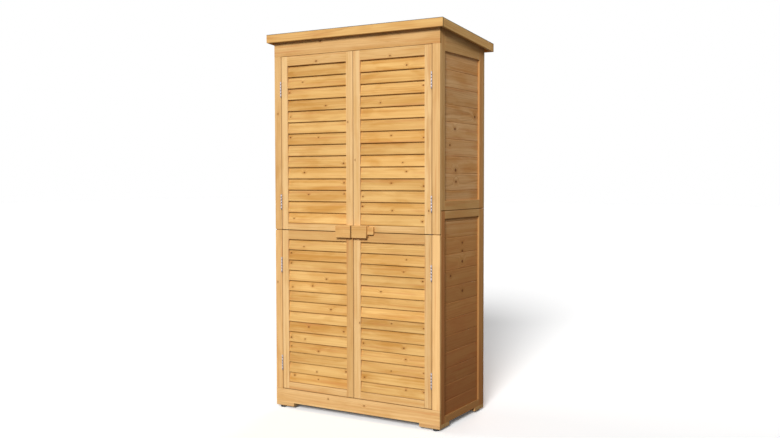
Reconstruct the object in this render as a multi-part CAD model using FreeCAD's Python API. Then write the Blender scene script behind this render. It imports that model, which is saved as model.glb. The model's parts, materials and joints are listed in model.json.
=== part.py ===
import FreeCAD, Part
import math
import os

# Garden storage cabinet: a timber cupboard with louvred double doors, boarded sides and back,
# a sloping boarded roof and a sliding wooden latch. Sizes are in millimetres.
# X runs to the right as seen from the front, Y runs to the back, Z runs up. The origin is on the
# ground, under the middle of the roof.

Vector = FreeCAD.Vector
X_AXIS = Vector(1, 0, 0)
Y_AXIS = Vector(0, 1, 0)
Z_AXIS = Vector(0, 0, 1)
ORIGIN = Vector(0, 0, 0)

# Overall
total_height = 1600.0
body_width = 796.0
body_depth = 406.0

# Roof
roof_side_overhang = 23.0
roof_front_overhang = 24.0
roof_rear_overhang = 42.0
roof_fall = 42.0
felt_thickness = 2.0
deck_thickness = 10.0
deck_board_count = 5
deck_board_gap = 0.6
fascia_height = 32.5
fascia_thickness = 12.0
bearer_width = 20.0
bearer_depth = 26.0

# Feet
glide_radius = 13.0
glide_height = 10.5
glide_side_inset = 25.0
glide_end_inset = 19.0
glide_edge = 1.5
foot_height = 14.8
foot_length = 92.0
foot_depth = 84.0

# Front frame
frame_thickness = 12.0
post_width = 34.0
bottom_board_height = 58.5
frieze_height = 79.5
front_seam_height = 770.6
front_seam_gap = 3.1
head_rail_depth = 24.0
head_rail_height = 45.0
door_stop_overlap = 15.0
door_stop_depth = 12.0

# Side and back panels
side_thickness = 20.0
side_recess = 7.0
side_stile_front = 30.0
side_stile_rear = 33.0
back_thickness = 16.0
back_recess = 4.0
back_stile_width = 34.0
side_seam_height = 862.8
side_seam_gap = 3.2
back_seam_gap = 0.4
lower_bottom_rail = 28.0
lower_top_rail = 30.0
upper_bottom_rail = 36.0
upper_top_rail = 70.0
lower_first_strip = 13.2
lower_board_cover = 64.5
upper_board_cover = 67.6
board_thickness = 8.0
board_housing = 6.0
board_vee = 1.6
tongue_thickness = 2.6
tongue_length = 4.0

# Doors
door_thickness = 20.0
door_gap = 3.0
hinge_stile_width = 31.0
meeting_stile_width = 32.5
upper_door_top_rail = 40.0
upper_door_bottom_rail = 27.0
lower_door_top_rail = 38.0
lower_door_bottom_rail = 29.0
slats_per_half = 14
slat_thickness = 6.0
slat_opening = 4.0
slat_overlap = 9.0
slat_setback = 1.5
slat_housing = 5.0
slat_round = 1.6
tenon_length = 12.0
tenon_thickness = 8.0
tenon_shoulder = 5.0
plate_width = 16.0
plate_length = 92.0
plate_thickness = 1.5
plate_corner = 4.0
plate_screw_inner = 21.0
plate_screw_outer = 37.0

# Hinges
hinge_height = 62.0
hinge_radius = 3.0
hinge_pin_radius = 1.4
hinge_leaf_thickness = 1.2
hinge_leaf_depth = 10.5
hinge_knuckles = 5
hinge_screws_per_leaf = 3
hinge_screw_spacing = 20.0
pin_head_radius = 2.3
pin_head_height = 1.8
pin_head_edge = 0.6
upper_hinge_below_head = 139.0
upper_hinge_above_seam = 119.0
lower_hinge_below_seam = 150.0
lower_hinge_above_foot = 114.0

# Latch
latch_block_length = 72.0
latch_block_height = 50.0
latch_block_depth = 20.0
latch_block_edge = 1.5
latch_block_spacing = 6.0
latch_block_rise = 2.0
latch_bar_height = 31.0
latch_bar_rise = 7.5
latch_bar_thickness = 11.5
latch_bar_length = 99.0
latch_bar_edge = 1.2
latch_travel = 30.0
latch_pocket_spare = 6.0
latch_screw_drop = 16.0
latch_screw_stile_inset = 5.0
latch_screw_inset = 12.0
latch_screw_reach = 12.0

# Floor and shelves
floor_thickness = 10.0
floor_board_count = 5
floor_bearer_width = 20.0
floor_bearer_depth = 28.0
shelf_thickness = 10.0
shelf_board_count = 5
shelf_front_space = 14.0
lower_shelf_height = 560.0
upper_shelf_height = 1040.0
cleat_width = 18.0
cleat_depth = 20.0

# Screws
screw_radius = 1.3
screw_head_radius = 2.4
screw_head_height = 1.1
screw_length = 12.0
screw_point = 2.5
screw_point_radius = 0.3

# Clearances
loose_gap = 0.5
fit_gap = 0.2
pin_gap = 0.05
screw_gap = 0.05
barrel_gap = 0.4
knuckle_gap = 0.4
latch_gap = 0.4
board_gap = 1.0
arris = 0.8
cut_overrun = 1.0

# Places worked out from the sizes above
roof_width = body_width + 2 * roof_side_overhang
roof_depth = body_depth + roof_front_overhang + roof_rear_overhang
roof_front = -roof_depth / 2
roof_rear = roof_depth / 2
roof_side = roof_width / 2
roof_slope = roof_fall / roof_depth
body_side = body_width / 2
front = roof_front + roof_front_overhang
rear = front + body_depth
body_bottom = glide_height + foot_height
door_foot = body_bottom + bottom_board_height
inner_front = front + frame_thickness
inner_rear = rear - back_thickness
inner_side = body_side - side_thickness
post_edge = body_side - post_width
door_edge = post_edge - door_gap
door_back = front + door_thickness
meeting_edge = door_gap / 2
slat_outer = door_edge - hinge_stile_width
slat_inner = meeting_edge + meeting_stile_width
hinge_x = (post_edge + door_edge) / 2
hinge_y = front - hinge_radius - barrel_gap


def roof_top(y):
    """Height of the roof covering at depth y."""
    return total_height - roof_slope * (y - roof_front)


def roof_under(y):
    """Height of the underside of the roof boards at depth y."""
    return roof_top(y) - felt_thickness - deck_thickness


door_head = roof_under(front) - frieze_height


def block(x0, x1, y0, y1, z0, z1):
    """A plain block between two corners."""
    return Part.makeBox(x1 - x0, y1 - y0, z1 - z0, Vector(x0, y0, z0))


def eased(solid, amount=arris):
    """A block with every edge planed off a little."""
    return solid.makeChamfer(amount, solid.Edges)


def board(x0, x1, y0, y1, z0, z1):
    """A planed timber block between two corners."""
    return eased(block(x0, x1, y0, y1, z0, z1))


def cylinder(radius, height, base, axis):
    """A round bar from a base point along an axis."""
    return Part.makeCylinder(radius, height, base, axis)


def prism_along_x(points, x0, x1):
    """A prism whose outline is a list of (y, z) points, from x0 to x1."""
    corners = [Vector(x0, y, z) for y, z in points]
    face = Part.Face(Part.makePolygon(corners + corners[:1]))
    return face.extrude(Vector(x1 - x0, 0, 0))


def mirrored(solids):
    """The same solids on the other side of the cabinet's middle."""
    return [solid.mirror(ORIGIN, X_AXIS) for solid in solids]


def both_sides(solids):
    """The solids and their mirror images."""
    return solids + mirrored(solids)


def cut_all(solid, tools):
    """A solid less a list of other solids."""
    return solid.cut(Part.makeCompound(tools)) if tools else solid


def save(name, solids):
    """Write one named piece, or one group of like pieces."""
    pieces = [piece for solid in solids for piece in solid.Solids]
    shape = pieces[0] if len(pieces) == 1 else Part.makeCompound(pieces)
    shape.exportStep(os.path.join("parts", name + ".step"))


def above_roof_boards():
    """All the space above the underside of the roof boards."""
    reach = 2 * roof_depth
    outline = [(-reach, roof_under(-reach)), (reach, roof_under(reach))]
    outline += [(reach, 2 * total_height), (-reach, 2 * total_height)]
    return prism_along_x(outline, -roof_width, roof_width)


def sloping_layer(y0, y1, x0, x1, drop, thickness):
    """A layer that follows the roof, drop below its top."""
    outline = [(y0, roof_top(y0) - drop), (y1, roof_top(y1) - drop)]
    outline += [(y1, roof_top(y1) - drop - thickness), (y0, roof_top(y0) - drop - thickness)]
    return prism_along_x(outline, x0, x1)


def wood_screw(head, direction, length=screw_length):
    """A countersunk screw, from the middle of its head's face."""
    neck = head + direction * screw_head_height
    cone = Part.makeCone(screw_head_radius, screw_radius, screw_head_height, head, direction)
    shank = cylinder(screw_radius, length - screw_head_height - screw_point, neck, direction)
    tip_base = head + direction * (length - screw_point)
    tip = Part.makeCone(screw_radius, screw_point_radius, screw_point, tip_base, direction)
    return cone.fuse([shank, tip]).removeSplitter()


def screw_hole(head, direction, length=screw_length):
    """The countersunk hole that a screw goes in."""
    mouth = Part.makeCone(screw_head_radius + screw_gap, screw_radius + screw_gap,
                          screw_head_height + screw_gap, head, direction)
    bore = cylinder(screw_radius + screw_gap, length + fit_gap, head, direction)
    return mouth.fuse(bore)


def match_board(u0, u1, outer, low, high, has_groove, has_tongue):
    """One horizontal match board with veed outer edges, its tongue up and its groove down."""
    inner = outer + board_thickness
    middle = (outer + inner) / 2
    half = tongue_thickness / 2
    wide = half + fit_gap
    outline = [(outer, low + board_vee), (outer, high - board_vee), (outer + board_vee, high)]
    if has_tongue:
        outline += [(middle - half, high), (middle - half, high + tongue_length)]
        outline += [(middle + half, high + tongue_length), (middle + half, high)]
    outline += [(inner, high), (inner, low)]
    if has_groove:
        depth = tongue_length + 2 * fit_gap
        outline += [(middle + wide, low), (middle + wide, low + depth)]
        outline += [(middle - wide, low + depth), (middle - wide, low)]
    outline += [(outer + board_vee, low)]
    corners = [Vector(u0, v, z) for v, z in outline]
    face = Part.Face(Part.makePolygon(corners + corners[:1]))
    return face.extrude(Vector(u1 - u0, 0, 0))


def board_lines(low, high, strips):
    """Heights of the joints between match boards, from the top down.

    strips is how much of the first board shows and of each further one.
    """
    first, cover = strips
    lines = []
    line = high - first
    while line > low + 2 * tongue_length:
        lines.append(line)
        line -= cover
    return lines


def panel_boards(u0, u1, outer, low, high, strips):
    """The stack of match boards that fills a panel frame's opening."""
    lines = board_lines(low, high, strips)
    tops = [high + board_housing] + [line - fit_gap for line in lines]
    feet = lines + [low - board_housing]
    boards = []
    for index, (top, foot) in enumerate(zip(tops, feet)):
        has_groove = index < len(lines)
        has_tongue = index > 0
        boards.append(match_board(u0 - board_housing, u1 + board_housing, outer, foot, top,
                                  has_groove, has_tongue))
    return boards


def framed_panel(size, low, high, rail_lines, strips):
    """A panel standing on U and Z, its outer face at V = 0 and its inner side towards +V.

    size is (start, end, thickness, recess, first stile, last stile); rail_lines is the height of
    the bottom rail and the level where the top rail starts; strips is as in board_lines.
    """
    start, end, thickness, recess, first_stile, last_stile = size
    bottom_rail, top_rail_foot = rail_lines
    u0 = start + first_stile
    u1 = end - last_stile
    open_low = low + bottom_rail
    groove_outer = recess - fit_gap
    groove_inner = recess + board_thickness + fit_gap
    reach = board_housing + fit_gap
    groove = block(u0 - reach, u1 + reach, groove_outer, groove_inner,
                   low - cut_overrun, high + cut_overrun)
    stiles = [board(start, u0, 0, thickness, low, high).cut(groove),
              board(u1, end, 0, thickness, low, high).cut(groove)]
    opening = block(u0 - reach, u1 + reach, groove_outer, groove_inner,
                    open_low - reach, top_rail_foot + reach)
    rails = []
    for rail_low, rail_high in ((low, open_low), (top_rail_foot, high)):
        tongue = block(u0 - board_housing, u1 + board_housing,
                       recess, recess + board_thickness, rail_low + arris, rail_high - arris)
        rail = board(u0, u1, 0, thickness, rail_low, rail_high).fuse(tongue)
        rails.append(rail.cut(opening).removeSplitter())
    boards = panel_boards(u0, u1, recess, open_low, top_rail_foot, strips)
    return stiles, rails, boards


def placed(solids, turn, shift):
    """Solids turned about the vertical and shifted to their place."""
    moved = []
    for solid in solids:
        copy = solid.copy()
        copy.rotate(ORIGIN, Z_AXIS, turn)
        copy.translate(shift)
        moved.append(copy)
    return moved


def panel_pair(size, seam_gap, turn, shift):
    """The lower and the upper panel of one wall: stiles, rails and boards of each."""
    rear_top = roof_under(inner_rear)
    high = roof_under(front) + cut_overrun
    seam_low = side_seam_height - seam_gap / 2
    seam_high = side_seam_height + seam_gap / 2
    lower = framed_panel(size, body_bottom, seam_low,
                         (lower_bottom_rail, seam_low - lower_top_rail),
                         (lower_first_strip, lower_board_cover))
    upper = framed_panel(size, seam_high, high,
                         (upper_bottom_rail, rear_top - upper_top_rail),
                         (upper_board_cover, upper_board_cover))
    roof_space = above_roof_boards()
    placed_lower = [placed(group, turn, shift) for group in lower]
    placed_upper = [placed(group, turn, shift) for group in upper]
    trimmed = [[solid.cut(roof_space) for solid in group] for group in placed_upper]
    return placed_lower, trimmed


def make_sides():
    """Both side walls, each of a lower and an upper panel."""
    size = (frame_thickness, body_depth - back_thickness, side_thickness, side_recess,
            side_stile_front, side_stile_rear)
    lower, upper = panel_pair(size, side_seam_gap, 90, Vector(body_side, front, 0))
    for side in ("right", "left"):
        turn = list if side == "right" else mirrored
        save("side_stiles_" + side, turn(lower[0] + upper[0]))
        save("side_rails_lower_" + side, turn(lower[1]))
        save("side_rails_upper_" + side, turn(upper[1]))
        save("side_boards_lower_" + side, turn(lower[2]))
        save("side_boards_upper_" + side, turn(upper[2]))


def make_back():
    """The back wall, of a lower and an upper panel across the whole width."""
    size = (-body_side, body_side, back_thickness, back_recess, back_stile_width,
            back_stile_width)
    lower, upper = panel_pair(size, back_seam_gap, 180, Vector(0, rear, 0))
    save("back_stiles", lower[0] + upper[0])
    save("back_rails", lower[1] + upper[1])
    save("back_boards_lower", lower[2])
    save("back_boards_upper", upper[2])


def make_roof():
    """Roof boards with their covering, the fascia boards round them and the bearers below."""
    save("roof_felt", [sloping_layer(roof_front, roof_rear, -roof_side, roof_side,
                                     0, felt_thickness)])
    deck_front = roof_front + fascia_thickness
    deck_rear = roof_rear - fascia_thickness
    deck_side = roof_side - fascia_thickness
    pitch = (deck_rear - deck_front) / deck_board_count
    deck = []
    for index in range(deck_board_count):
        y0 = deck_front + index * pitch
        y1 = y0 + pitch - deck_board_gap
        deck.append(sloping_layer(y0, y1, -deck_side, deck_side, felt_thickness, deck_thickness))
    save("roof_deck_boards", deck)
    front_fascia = sloping_layer(roof_front, deck_front, -roof_side, roof_side,
                                 felt_thickness, fascia_height)
    rear_fascia = sloping_layer(deck_rear, roof_rear, -roof_side, roof_side,
                                felt_thickness, fascia_height)
    side_fascia = sloping_layer(deck_front, deck_rear, deck_side, roof_side,
                                felt_thickness, fascia_height)
    save("roof_fascia_front", [eased(front_fascia)])
    save("roof_fascia_rear", [eased(rear_fascia)])
    save("roof_fascia_right", [eased(side_fascia)])
    save("roof_fascia_left", mirrored([eased(side_fascia)]))
    outer = sloping_layer(inner_front, inner_rear, inner_side - bearer_width, inner_side,
                          felt_thickness + deck_thickness, bearer_depth)
    middle = sloping_layer(inner_front + head_rail_depth, inner_rear, -bearer_width / 2,
                           bearer_width / 2, felt_thickness + deck_thickness, bearer_depth)
    head = block(-body_side, body_side, inner_front, inner_front + head_rail_depth,
                 door_head - head_rail_height, door_head + head_rail_height)
    save("roof_bearers", both_sides([outer.cut(head)]) + [middle])


def make_front_frame():
    """Posts, frieze, bottom board and the rail that stops the doors at the head."""
    frieze = board(-body_side, body_side, front, inner_front, door_head, door_head + 2 * frieze_height)
    save("frieze_board", [frieze.cut(above_roof_boards())])
    save("bottom_board", [board(-body_side, body_side, front, inner_front,
                                body_bottom, door_foot)])
    half = front_seam_gap / 2
    spans = {"lower": (door_foot, front_seam_height - half),
             "upper": (front_seam_height + half, door_head)}
    for level, (low, high) in spans.items():
        post = board(post_edge, body_side, front, inner_front, low, high)
        post = cut_all(post, hinge_screw_holes(low, high, 1))
        save("front_post_" + level + "_right", [post])
        save("front_post_" + level + "_left", mirrored([post]))
    rail_low = door_head - door_stop_overlap
    rail = board(-inner_side, inner_side, inner_front, inner_front + head_rail_depth,
                 rail_low, rail_low + head_rail_height)
    rebate = block(-inner_side, inner_side, inner_front, door_back + loose_gap,
                   rail_low, door_head)
    save("head_rail", [rail.cut(rebate)])


def make_base():
    """Feet, glides, floor and the strip that stops the doors at the foot."""
    glides = []
    feet = []
    for y0, glide_y in ((front, front + glide_end_inset),
                        (rear - foot_depth, rear - glide_end_inset)):
        feet.append(board(body_side - foot_length, body_side, y0, y0 + foot_depth,
                          glide_height, body_bottom))
        disc = cylinder(glide_radius, glide_height,
                        Vector(body_side - glide_side_inset, glide_y, 0), Z_AXIS)
        foot_edge = [edge for edge in disc.Edges if edge.BoundBox.ZMax < glide_height / 2]
        glides.append(disc.makeFillet(glide_edge, foot_edge))
    save("foot_blocks", both_sides(feet))
    save("foot_glides", both_sides(glides))
    floor_under = door_foot - floor_thickness
    pitch = (inner_rear - inner_front) / floor_board_count
    boards = []
    for index in range(floor_board_count):
        y0 = inner_front + index * pitch
        boards.append(board(-inner_side + loose_gap, inner_side - loose_gap,
                            y0 + board_gap / 2, y0 + pitch - board_gap / 2,
                            floor_under, door_foot))
    save("floor_boards", boards)
    low = floor_under - floor_bearer_depth
    side = board(inner_side - floor_bearer_width, inner_side, inner_front, inner_rear,
                 low, floor_under)
    middle = board(-floor_bearer_width / 2, floor_bearer_width / 2, inner_front, inner_rear,
                   low, floor_under)
    save("floor_bearers", both_sides([side]) + [middle])
    stop_front = door_back + loose_gap
    save("door_stop_strip", [board(-door_edge, door_edge, stop_front,
                                   stop_front + door_stop_depth, door_foot,
                                   door_foot + door_gap + door_stop_overlap)])


def make_shelves():
    """Two boarded shelves, each on a cleat at either side."""
    shelf_front = door_back + shelf_front_space
    pitch = (inner_rear - loose_gap - shelf_front) / shelf_board_count
    cleats = []
    for name, top in (("lower", lower_shelf_height), ("upper", upper_shelf_height)):
        under = top - shelf_thickness
        boards = []
        for index in range(shelf_board_count):
            y0 = shelf_front + index * pitch
            boards.append(board(-inner_side + loose_gap, inner_side - loose_gap,
                                y0, y0 + pitch - board_gap, under, top))
        save("shelf_" + name, boards)
        cleats.append(board(inner_side - cleat_width, inner_side, shelf_front, inner_rear,
                            under - cleat_depth, under))
    save("shelf_cleats", both_sides(cleats))


def slat_tilt(pitch):
    """Angle of the slats from upright, so that each lower edge stands clear in front of the next slat."""
    return math.atan((slat_thickness + slat_opening) / pitch)


def slat_section(low, pitch, spare):
    """Outline of one slat whose front lower edge is at height low, grown by spare all round."""
    angle = slat_tilt(pitch)
    up = Vector(0, math.sin(angle), math.cos(angle))
    back = Vector(0, math.cos(angle), -math.sin(angle))
    foot = Vector(0, front + slat_setback, low) - up * spare - back * spare
    length = pitch + slat_overlap + 2 * spare
    depth = slat_thickness + 2 * spare
    return [foot, foot + up * length, foot + up * length + back * depth, foot + back * depth]


def slat_bar(low, pitch, x0, x1, spare=0.0):
    """A straight slat, or with spare the space that it is housed in."""
    corners = [Vector(x0, point.y, point.z) for point in slat_section(low, pitch, spare)]
    face = Part.Face(Part.makePolygon(corners + corners[:1]))
    return face.extrude(Vector(x1 - x0, 0, 0))


def rounded_slat(low, pitch):
    """A slat with its lower edges rounded over."""
    bar = slat_bar(low, pitch, slat_outer + slat_housing - fit_gap,
                   slat_inner - slat_housing + fit_gap)
    edges = []
    for edge in bar.Edges:
        middle = edge.CenterOfMass
        along = edge.BoundBox.XLength > pitch
        if along and middle.z < low + pitch / 2:
            edges.append(edge)
    return bar.makeFillet(slat_round, edges)


def door_rail(low, high):
    """A door rail with a tenon at each end."""
    rail = board(slat_inner, slat_outer, front, door_back, low, high)
    return rail.fuse(tenon_block(low, high, 0.0)).removeSplitter()


def tenon_block(low, high, spare):
    """Both tenons of a rail in one bar, or with spare the mortises for them."""
    middle = (front + door_back) / 2
    half = tenon_thickness / 2 + spare
    reach = tenon_length + spare
    return block(slat_inner - reach, slat_outer + reach, middle - half, middle + half,
                 low + tenon_shoulder - spare, high - tenon_shoulder + spare)


def hinge_heights():
    """Heights of the middles of the four hinges of a door."""
    return [door_head - upper_hinge_below_head, front_seam_height + upper_hinge_above_seam,
            front_seam_height - lower_hinge_below_seam, door_foot + lower_hinge_above_foot]


def hinge_screw_heads(low, high, way):
    """Screw places on the hinge leaves between two heights: way is 1 on the post, -1 on the door."""
    heads = []
    x = hinge_x + way * (door_gap / 2 - hinge_leaf_thickness)
    for middle in hinge_heights():
        if low < middle < high:
            for index in range(hinge_screws_per_leaf):
                offset = (index - (hinge_screws_per_leaf - 1) / 2) * hinge_screw_spacing
                heads.append(Vector(x, front + hinge_leaf_depth / 2 + loose_gap, middle + offset))
    return heads


def hinge_screw_holes(low, high, way):
    """Holes for the hinge screws between two heights."""
    direction = X_AXIS * way
    return [screw_hole(head, direction) for head in hinge_screw_heads(low, high, way)]


def plate_middles():
    """Places across the door of the two splice plates, the hinge side first."""
    return [(slat_outer + door_edge) / 2, (meeting_edge + slat_inner) / 2]


def plate_screw_heads():
    """Middles of the heads of the splice plates' screws."""
    back = door_back + plate_thickness
    offsets = (-plate_screw_outer, -plate_screw_inner, plate_screw_inner, plate_screw_outer)
    return [Vector(x, back, front_seam_height + offset) for x in plate_middles()
            for offset in offsets]


def latch_screw_heads():
    """Middles of the heads of the two screws that reach a latch block through the door."""
    x0 = slat_inner - latch_screw_stile_inset
    x1 = latch_block_spacing / 2 + latch_block_length - latch_screw_inset
    return [Vector(x, door_back, front_seam_height - latch_screw_drop) for x in (x0, x1)]


def back_screws(make):
    """Screws, or their holes, that go in from the back of a door."""
    long_reach = door_thickness + latch_screw_reach
    short = [make(head, -Y_AXIS) for head in plate_screw_heads()]
    return short + [make(head, -Y_AXIS, long_reach) for head in latch_screw_heads()]


def splice_plates():
    """Steel plates that tie the two halves of a door together at the back."""
    half = plate_length / 2
    holes = [screw_hole(head, -Y_AXIS) for head in plate_screw_heads()]
    plates = []
    for x in plate_middles():
        plate = block(x - plate_width / 2, x + plate_width / 2, door_back,
                      door_back + plate_thickness, front_seam_height - half,
                      front_seam_height + half)
        upright = [edge for edge in plate.Edges if edge.BoundBox.YLength > plate_thickness / 2]
        rounded = plate.makeFillet(plate_corner, upright)
        plates.append(cut_all(rounded, holes))
    return plates


def door_half(low, high, bottom_rail, top_rail):
    """Stiles, rails and slats of one half of the right door."""
    open_low = low + bottom_rail
    open_high = high - top_rail
    pitch = (open_high - open_low) / slats_per_half
    feet = [open_low + index * pitch for index in range(slats_per_half)]
    opening = block(slat_inner - 2 * slat_housing, slat_outer + 2 * slat_housing,
                    front, door_back, open_low, open_high)
    slats = [rounded_slat(foot, pitch).common(opening) for foot in feet]
    housings = [slat_bar(foot, pitch, slat_inner - slat_housing, slat_outer + slat_housing,
                         fit_gap).common(opening) for foot in feet]
    mortises = [tenon_block(low, open_low, fit_gap), tenon_block(open_high, high, fit_gap)]
    holes = back_screws(screw_hole)
    hinge_stile = board(slat_outer, door_edge, front, door_back, low, high)
    meeting_stile = board(meeting_edge, slat_inner, front, door_back, low, high)
    hinge_stile = cut_all(hinge_stile, housings + mortises + holes
                          + hinge_screw_holes(low, high, -1))
    meeting_stile = cut_all(meeting_stile, housings + mortises + holes)
    rails = [cut_all(door_rail(low, open_low), holes), cut_all(door_rail(open_high, high), holes)]
    return [hinge_stile, meeting_stile], rails, slats


def make_doors():
    """Two doors, each of an upper and a lower louvred half tied together behind."""
    half = front_seam_gap / 2
    halves = {"lower": (door_foot + door_gap, front_seam_height - half,
                        lower_door_bottom_rail, lower_door_top_rail),
              "upper": (front_seam_height + half, door_head - door_gap / 2,
                        upper_door_bottom_rail, upper_door_top_rail)}
    for level, sizes in halves.items():
        stiles, rails, slats = door_half(*sizes)
        save("door_right_" + level + "_stiles", stiles)
        save("door_right_" + level + "_rails", rails)
        save("door_right_" + level + "_slats", slats)
        save("door_left_" + level + "_stiles", mirrored(stiles))
        save("door_left_" + level + "_rails", mirrored(rails))
        save("door_left_" + level + "_slats", mirrored(slats))
    plates = splice_plates()
    save("door_right_splice_plates", plates)
    save("door_left_splice_plates", mirrored(plates))


def knuckle_spans(middle):
    """Lowest and highest point of each knuckle of a hinge."""
    pitch = hinge_height / hinge_knuckles
    foot = middle - hinge_height / 2
    return [(foot + index * pitch + knuckle_gap / 2, foot + (index + 1) * pitch - knuckle_gap / 2)
            for index in range(hinge_knuckles)]


def hinge_leaf(middle, way):
    """One leaf: way is 1 for the post's leaf, which has the outer knuckles, or -1 for the door's."""
    low = middle - hinge_height / 2
    high = middle + hinge_height / 2
    near = hinge_x + way * (door_gap / 2 - hinge_leaf_thickness)
    far = hinge_x + way * door_gap / 2
    x0 = min(near, far)
    x1 = max(near, far)
    barrel_clear = hinge_y + hinge_radius + barrel_gap
    plate = block(x0, x1, barrel_clear, front + hinge_leaf_depth, low + knuckle_gap,
                  high - knuckle_gap)
    pieces = []
    root = hinge_y + (hinge_radius + hinge_pin_radius) / 2
    for index, (foot, top) in enumerate(knuckle_spans(middle)):
        own = index % 2 == (0 if way > 0 else 1)
        if own:
            pieces.append(cylinder(hinge_radius, top - foot, Vector(hinge_x, hinge_y, foot), Z_AXIS))
            pieces.append(block(x0, x1, root, barrel_clear + loose_gap, foot, top))
    bore = cylinder(hinge_pin_radius + pin_gap, 2 * hinge_height,
                    Vector(hinge_x, hinge_y, middle - hinge_height), Z_AXIS)
    leaf = plate.fuse(pieces).removeSplitter().cut(bore)
    return cut_all(leaf, hinge_screw_holes(low, high, way))


def hinge_pin(middle):
    """A hinge pin with a round head at each end."""
    low = middle - hinge_height / 2 - knuckle_gap
    high = middle + hinge_height / 2 + knuckle_gap
    pin = cylinder(hinge_pin_radius, high - low, Vector(hinge_x, hinge_y, low), Z_AXIS)
    heads = []
    for foot in (low - pin_head_height, high):
        head = cylinder(pin_head_radius, pin_head_height, Vector(hinge_x, hinge_y, foot), Z_AXIS)
        heads.append(head.makeFillet(pin_head_edge, head.Edges))
    return pin.fuse(heads).removeSplitter()


def make_hinges():
    """Eight butt hinges and their screws."""
    post_leaves = [hinge_leaf(middle, 1) for middle in hinge_heights()]
    door_leaves = [hinge_leaf(middle, -1) for middle in hinge_heights()]
    save("hinge_post_leaves", both_sides(post_leaves))
    save("hinge_pins", both_sides([hinge_pin(middle) for middle in hinge_heights()]))
    save("hinge_door_leaves_right", door_leaves)
    save("hinge_door_leaves_left", mirrored(door_leaves))
    post_screws = [wood_screw(head, X_AXIS) for head in hinge_screw_heads(0, total_height, 1)]
    door_screws = [wood_screw(head, -X_AXIS) for head in hinge_screw_heads(0, total_height, -1)]
    door_screws += back_screws(wood_screw)
    save("post_screws", both_sides(post_screws))
    save("door_screws_right", door_screws)
    save("door_screws_left", mirrored(door_screws))


def latch_block(channel_end):
    """A block on the right door, with a channel for the bar from its near end to channel_end."""
    x0 = latch_block_spacing / 2
    x1 = x0 + latch_block_length
    middle = front_seam_height + latch_block_rise
    body = block(x0, x1, front - latch_block_depth, front, middle - latch_block_height / 2,
                 middle + latch_block_height / 2)
    face_edges = [edge for edge in body.Edges if edge.CenterOfMass.y < front - arris]
    body = body.makeChamfer(latch_block_edge, face_edges)
    half = latch_bar_height / 2 + latch_gap
    bar_middle = front_seam_height + latch_bar_rise
    channel = block(x0 - cut_overrun, channel_end, front - latch_bar_thickness - 2 * latch_gap, front,
                    bar_middle - half, bar_middle + half)
    return cut_all(body.cut(channel), back_screws(screw_hole))


def make_latch():
    """A keeper on the left door, and a guide with a sliding bar on the right door."""
    x0 = latch_block_spacing / 2
    guide = latch_block(x0 + latch_block_length + cut_overrun)
    keeper = latch_block(latch_travel - x0 + latch_pocket_spare)
    save("latch_guide_block", [guide])
    save("latch_keeper_block", mirrored([keeper]))
    bar_middle = front_seam_height + latch_bar_rise
    bar = block(x0, x0 + latch_bar_length, front - latch_gap - latch_bar_thickness,
                front - latch_gap, bar_middle - latch_bar_height / 2,
                bar_middle + latch_bar_height / 2)
    save("latch_bar", [eased(bar, latch_bar_edge)])


def main():
    """Write every piece of the cabinet."""
    os.makedirs("parts", exist_ok=True)
    make_roof()
    make_front_frame()
    make_sides()
    make_back()
    make_base()
    make_shelves()
    make_doors()
    make_hinges()
    make_latch()


main()
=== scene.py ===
"""Looks of the garden storage cabinet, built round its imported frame.

Every timber is shaped lying on a bench at the origin, with its length along X, its width along Y
and its face up, and is then laid where the frame has it. Sizes are in metres.
"""
import json
import logging
import math
import random
from dataclasses import dataclass, field
from enum import Enum
from functools import partialmethod
from typing import ClassVar, Optional, Sequence, Union

import bmesh
import bpy
from bmesh.types import BMesh
from mathutils import Matrix, Vector

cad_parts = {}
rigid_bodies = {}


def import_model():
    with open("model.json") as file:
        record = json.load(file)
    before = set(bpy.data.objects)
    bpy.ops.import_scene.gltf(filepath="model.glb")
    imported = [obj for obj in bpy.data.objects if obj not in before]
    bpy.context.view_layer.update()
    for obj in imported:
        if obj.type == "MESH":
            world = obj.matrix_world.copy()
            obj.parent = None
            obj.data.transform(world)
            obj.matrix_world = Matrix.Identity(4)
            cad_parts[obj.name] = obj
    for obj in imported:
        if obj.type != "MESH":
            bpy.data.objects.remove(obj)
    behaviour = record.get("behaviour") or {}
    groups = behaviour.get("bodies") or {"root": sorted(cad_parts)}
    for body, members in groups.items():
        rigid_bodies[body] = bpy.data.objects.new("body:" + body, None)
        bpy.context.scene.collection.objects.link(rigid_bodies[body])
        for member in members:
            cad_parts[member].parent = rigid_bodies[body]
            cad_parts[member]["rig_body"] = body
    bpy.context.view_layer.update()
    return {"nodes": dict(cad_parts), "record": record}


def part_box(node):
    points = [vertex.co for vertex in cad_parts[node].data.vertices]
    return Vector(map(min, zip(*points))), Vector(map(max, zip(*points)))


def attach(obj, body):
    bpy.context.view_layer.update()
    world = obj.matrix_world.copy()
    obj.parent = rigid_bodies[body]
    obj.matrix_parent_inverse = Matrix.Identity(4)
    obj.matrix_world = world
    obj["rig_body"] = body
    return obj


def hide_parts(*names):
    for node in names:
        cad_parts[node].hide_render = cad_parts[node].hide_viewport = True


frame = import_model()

LOG = logging.getLogger("cabinet")
SLOTS = {part["node"]: part["material_slot"] for part in frame["record"]["subparts"]}
BOARD_MARKS = ("bench", "pith", "tone", "age", "knot_a", "knot_b")
END_CUT = Vector((1, 0, 0))
ARRIS_CUT = Vector((0, 1, 0))
# Marks a timber's narrow edge faces, which the finish darkens as painted shade.
SHADED_EDGE_CUT = Vector((0, 0, 1))
NO_KNOT = Vector((9.0, 9.0, 0.001))
FACING = 0.9
SHARP_ANGLE = 0.5
SQUARE_ANGLE = 1.2
TOUCH = 1e-6
SAW_TOUCH = 1e-7
TONGUE_EDGE = 0.0002
Box = tuple[Vector, Vector]
Plane = tuple[Vector, Vector]
Element = Union[bmesh.types.BMVert, bmesh.types.BMEdge, bmesh.types.BMFace]
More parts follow.
